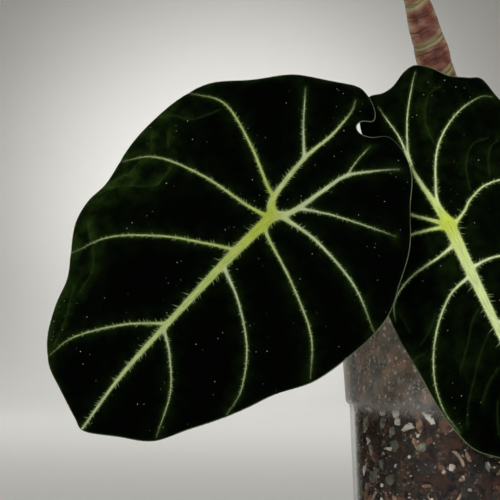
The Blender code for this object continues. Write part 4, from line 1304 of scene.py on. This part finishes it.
def add_grit(look, material):
    """Fine grit and slivers of fibre against the wall: rock shapes of 0.3 to 1.8 mm, and thin ones 2 to 5 mm
    long, strewn evenly at random.
    """
    dice = np.random.default_rng(look.seed + 1)
    count = look.grit
    size = 0.20 + 0.38 * dice.uniform(size=(count, 1)) ** 2
    halves = size * dice.uniform(0.6, 1.6, (count, 3))
    sliver_share = 0.13
    slivers = dice.uniform(size=count) < sliver_share
    halves[slivers] = dice.uniform((0.9, 0.10, 0.10), (2.4, 0.17, 0.19), (int(slivers.sum()), 3))
    degrees = dice.uniform(0, 360, count)
    heights = dice.uniform(FLOOR, MIX_TOP - 0.5, count)
    heights = np.maximum(heights, FLOOR + 0.1 + halves.max(1))
    depth = np.where(slivers, 0.3, halves.max(1)) + 0.1 + 0.6 * dice.uniform(size=count)
    radius = wall_radius(heights) - WALL - depth
    tilts, leans = (dice.uniform(-MOST_TURN, MOST_TURN, count) for _ in range(2))
    turns = turned_frames(degrees, tilts, leans * ~slivers)
    points, faces = rock_mesh(round_place(degrees, radius, heights), halves, turns, dice, cuts=2)
    shade = np.where(slivers, dice.uniform(0.5, 0.85, count), dice.uniform(0.0, 1.0, count))
    shade = np.repeat(shade, len(points) // count)
    piece = put_mesh("grit", pressed_in(points), (faces,), material, {"shade": shade}, sharp_degrees=25)
    hand_in(piece, "mix")


# ---------------------------------------------------------------- settings

def colour(name, description, hex_colour):
    """A colour property."""
    return FloatVectorProperty(
        name=name, description=description, subtype="COLOR", size=4, min=0, max=1, default=linear(hex_colour),
    )


def amount(name, description, default, **limits):
    """A number property, never below nought unless its limits say so."""
    return FloatProperty(name=name, description=description, default=default, **{"min": 0, **limits})


class LeafLook(bpy.types.PropertyGroup):
    """Colours and relief of the blades."""

    velvet: colour("Velvet", "Blade between the veins", "#010201")
    # This green colours the blade beside the veins, and also the painted sheen near the margin and the
    # painted light beside the creases.
    glow: colour("Green", "Blade beside the veins and margin", "#2a3f16")
    halo: colour("Halo", "Green that edges a vein", "#33450b")
    verge: colour("Verge", "Outer parts of a vein, and its hairs", "#73834a")
    vein: colour("Vein", "Side veins", "#b2be90")
    midrib: colour("Midrib", "Midrib near the joint", "#a2b045")
    # Painted light: the pale line at the margin stands in for light coming through the edge.
    rim: colour("Margin", "Thin cord round the blade", "#6a7558")
    sheen: amount("Sheen", "Weight of the velvet's sheen", 0.004, max=1)
    quilt: amount("Quilting", "Rise between veins, in millimetres", 0.9)
    margin_wave: amount("Wave", "Wave of the margin, in millimetres", 0.9)
    wrinkle: amount("Wrinkle", "Height of the wrinkles, in millimetres", 0.10)


class StemLook(bpy.types.PropertyGroup):
    """Colours of the stem, the stalks and the roots."""

    petiole: colour("Stalk", "Leaf stalk", "#7f8c4e")
    flesh: colour("Foot", "Foot of a stalk", "#8a5b48")
    band: colour("Band", "Pale band beside a leaf scar", "#a3a078")
    scar: colour("Scar", "Leaf scar", "#56551a")
    root: colour("Root", "Roots", "#ae9684")


class PotLook(bpy.types.PropertyGroup):
    """Colours of the pot, and sizes of the mix."""

    plastic: colour("Plastic", "Clear wall", "#cfcdc6")
    film: colour("Film", "Dried film on the collar", "#aca092")
    spacing: amount("Spacing", "Between pieces of the mix, in millimetres", 2.9, min=1)
    grit: IntProperty(name="Grit", description="Number of grit grains", default=6000, min=0)
    seed: IntProperty(name="Seed", description="Seed of the mix", default=7)


class StageLook(bpy.types.PropertyGroup):
    """Camera, floor and lights."""

    lens: amount("Lens", "Focal length, in millimetres", 135.0, min=10)
    pitch: FloatProperty(
        name="Pitch", description="Camera's upward tilt", subtype="ANGLE", default=math.radians(2.5),
    )
    place: FloatVectorProperty(
        name="Camera", description="Camera's place", subtype="XYZ", unit="LENGTH",
        default=(-0.080, -0.578, 0.0875),
    )
    paper: colour("Paper", "Floor and backdrop", "#e4e3de")
    key: amount("Key", "Key light's power, in watts", 9.0)
    fill: amount("Fill", "Fill light's power, in watts", 4.0)
    pool: amount("Pool", "Backdrop light's power, in watts", 225.0)
    overhead: amount("Overhead", "Overhead light's power, in watts", 2.2)
    floor: amount("Floor", "Power of the softbox behind, in watts", 4.5)
    floor_pool: amount("Floor pool", "Power of the spot behind, in watts", 42.0)
    world: amount("World", "Grey of the surrounding light", 0.05)


# ---------------------------------------------------------------- operators

class Step:
    """One step of the build: its make() does the work."""

    def execute(self, context):
        self.make(context.scene)
        return {"FINISHED"}


class MakeLeaves(Step, bpy.types.Operator):
    """Makes the four velvet blades"""

    bl_idname, bl_label = "alocasia.leaves", "Leaves"

    def make(self, scene):
        look = scene.alocasia_leaf
        material = velvet_blade(look)
        for name, leaf in LEAVES.items():
            add_leaf(name, leaf, look, material)


class MakeStalks(Step, bpy.types.Operator):
    """Makes the leaf stalks and the rolled new leaf"""

    bl_idname, bl_label = "alocasia.stalks", "Stalks"

    def make(self, scene):
        material = green_stalk(scene.alocasia_stem)
        for name in PETIOLES:
            add_petiole(name, material)
        add_spear(material)


class MakeStem(Step, bpy.types.Operator):
    """Makes the ringed stem"""

    bl_idname, bl_label = "alocasia.stem", "Stem"

    def make(self, scene):
        add_stem(scarred_stem(scene.alocasia_stem))


class MakeRoots(Step, bpy.types.Operator):
    """Makes the roots that show against the wall"""

    bl_idname, bl_label = "alocasia.roots", "Roots"

    def make(self, scene):
        # Root skin: dry, slightly fuzzy and tan, darker where it was rubbed.
        stops = ((0.25, "#6d5340"), (0.55, scene.alocasia_stem.root), (0.9, "#cdb59c"))
        material = crumb("dry_root_skin", stops, 0.7, 900.0, 0.1)
        for name in ROOTS:
            add_root(name, material)


class MakePot(Step, bpy.types.Operator):
    """Makes the clear pot"""

    bl_idname, bl_label = "alocasia.pot", "Pot"

    def make(self, scene):
        add_pot(clear_plastic(scene.alocasia_pot))


class MakeMix(Step, bpy.types.Operator):
    """Makes the body of the mix and its pieces"""

    bl_idname, bl_label = "alocasia.mix", "Mix"

    def make(self, scene):
        look = scene.alocasia_pot
        materials = {kind: crumb(*row) for kind, row in CRUMBS.items()}
        add_mix(materials["body"])
        add_pieces(look, materials)
        add_grit(look, materials["grit"])


class MakeStage(Step, bpy.types.Operator):
    """Makes the camera, the pale paper sweep and the soft lights"""

    bl_idname, bl_label = "alocasia.stage", "Stage"

    def make(self, scene):
        look = scene.alocasia_stage
        add_sweep(look)
        add_camera(look)
        for name, place, target, power, size, cone in (
            ("key_softbox", (-0.55, -0.95, 0.75), (-0.05, -0.02, 0.12), look.key, 0.7, None),
            ("fill_softbox", (0.75, -0.80, 0.45), (-0.05, -0.02, 0.12), look.fill, 0.7, None),
            ("backdrop_pool", (-0.10, 0.45, 0.40), (-0.10, 2.9, 0.28), look.pool, 0.2, 27),
            ("overhead_softbox", (-0.05, 0.0, 1.40), (-0.05, 0.02, 0.0), look.overhead, 0.8, None),
            ("floor_softbox", (-0.10, 1.5, 1.50), (-0.10, 1.52, 0.0), look.floor, 0.5, None),
            ("floor_pool", (-0.06, 1.3, 1.50), (-0.06, 1.32, 0.0), look.floor_pool, 0.2, 78),
        ):
            add_light(name, place, target, power, size, cone)
        world = bpy.data.worlds.new("soft_surround")
        world.use_nodes = True
        grey = look.world
        world.node_tree.nodes["Background"].inputs["Color"].default_value = (grey, grey, grey, 1.0)
        scene.world = world
        scene.view_settings.view_transform = "Standard"


def add_camera(look):
    """The camera stands low in front of the pot, looks along +Y and is tilted up a little."""
    lens = bpy.data.cameras.new("camera")
    lens.lens = look.lens
    lens.sensor_width = 36.0
    lens.clip_start = 0.01
    made = bpy.data.objects.new("camera", lens)
    made.location = look.place
    made.rotation_euler = (math.pi / 2 + look.pitch, 0.0, 0.0)
    bpy.context.scene.collection.objects.link(made)
    bpy.context.scene.camera = made


def add_light(name, place, target, power, size, cone):
    """A light aimed at a point, unseen by the camera: a soft disc, or a spot if it has a cone in degrees."""
    lamp = bpy.data.lights.new(name, "SPOT" if cone else "AREA")
    lamp.energy = power
    if cone is None:
        lamp.shape = "DISK"
        lamp.size = size
    else:
        lamp.shadow_soft_size = size
        lamp.spot_size = math.radians(cone)
        lamp.spot_blend = 1.0
    made = bpy.data.objects.new(name, lamp)
    made.location = place
    made.rotation_euler = (Vector(target) - Vector(place)).to_track_quat("-Z", "Y").to_euler()
    made.visible_camera = False
    bpy.context.scene.collection.objects.link(made)


def add_sweep(look):
    """A round sheet of pale paper, as one turned surface: flat underfoot, then curving up into a wall."""
    flat, bend, wall = 1.6, 1.4, 1.2
    turn = np.linspace(0, np.pi / 2, 40)
    profile = np.vstack([
        [(0.001, 0.0), (0.4, 0.0), (0.9, 0.0)],
        np.stack([flat + bend * np.sin(turn), bend * (1 - np.cos(turn))], axis=1),
        [(flat + bend, bend + wall)],
    ])
    points, (quads, foot_cap, _) = lathe(profile, 160)
    # Matt seamless paper: no shine, with a very faint mottle.
    paper, tree, shader = new_material("seamless_paper", Roughness=0.95, Specular_IOR_Level=0.05)
    tone = remap(tree, noise(tree, object_place(tree), 6.0, 2.0), 0.0, 1.0, 0.985, 1.015)
    fed(paper, shader, Base_Color=scaled(tree, look.paper[:3], tone))
    made = put_mesh("paper_sweep", points / MM, (quads, foot_cap), paper)


class ALOCASIA_PT_panel(bpy.types.Panel):
    """Lists the settings and the steps"""

    bl_label = "Potted Alocasia"
    bl_space_type = "VIEW_3D"
    bl_region_type = "UI"
    bl_category = "Alocasia"

    def draw(self, context):
        layout = self.layout
        for group in GROUPS:
            box = layout.box()
            settings = getattr(context.scene, group)
            for name in settings.__annotations__:
                box.prop(settings, name)
        for step in STEPS:
            layout.operator(step.bl_idname)


GROUPS = {
    "alocasia_leaf": LeafLook, "alocasia_stem": StemLook,
    "alocasia_pot": PotLook, "alocasia_stage": StageLook,
}
STEPS = (MakeStage, MakeMix, MakePot, MakeRoots, MakeStem, MakeStalks, MakeLeaves)


def register():
    for group, kind in GROUPS.items():
        bpy.utils.register_class(kind)
        setattr(bpy.types.Scene, group, PointerProperty(type=kind))
    for kind in (*STEPS, ALOCASIA_PT_panel):
        bpy.utils.register_class(kind)


def unregister():
    for kind in (ALOCASIA_PT_panel, *reversed(STEPS)):
        bpy.utils.unregister_class(kind)
    for group, kind in reversed(GROUPS.items()):
        delattr(bpy.types.Scene, group)
        bpy.utils.unregister_class(kind)


def main():
    """Registers the add-on's classes and runs every step in order."""
    register()
    for step in STEPS:
        getattr(bpy.ops.alocasia, step.bl_label.lower())()


if __name__ == "__main__":
    main()
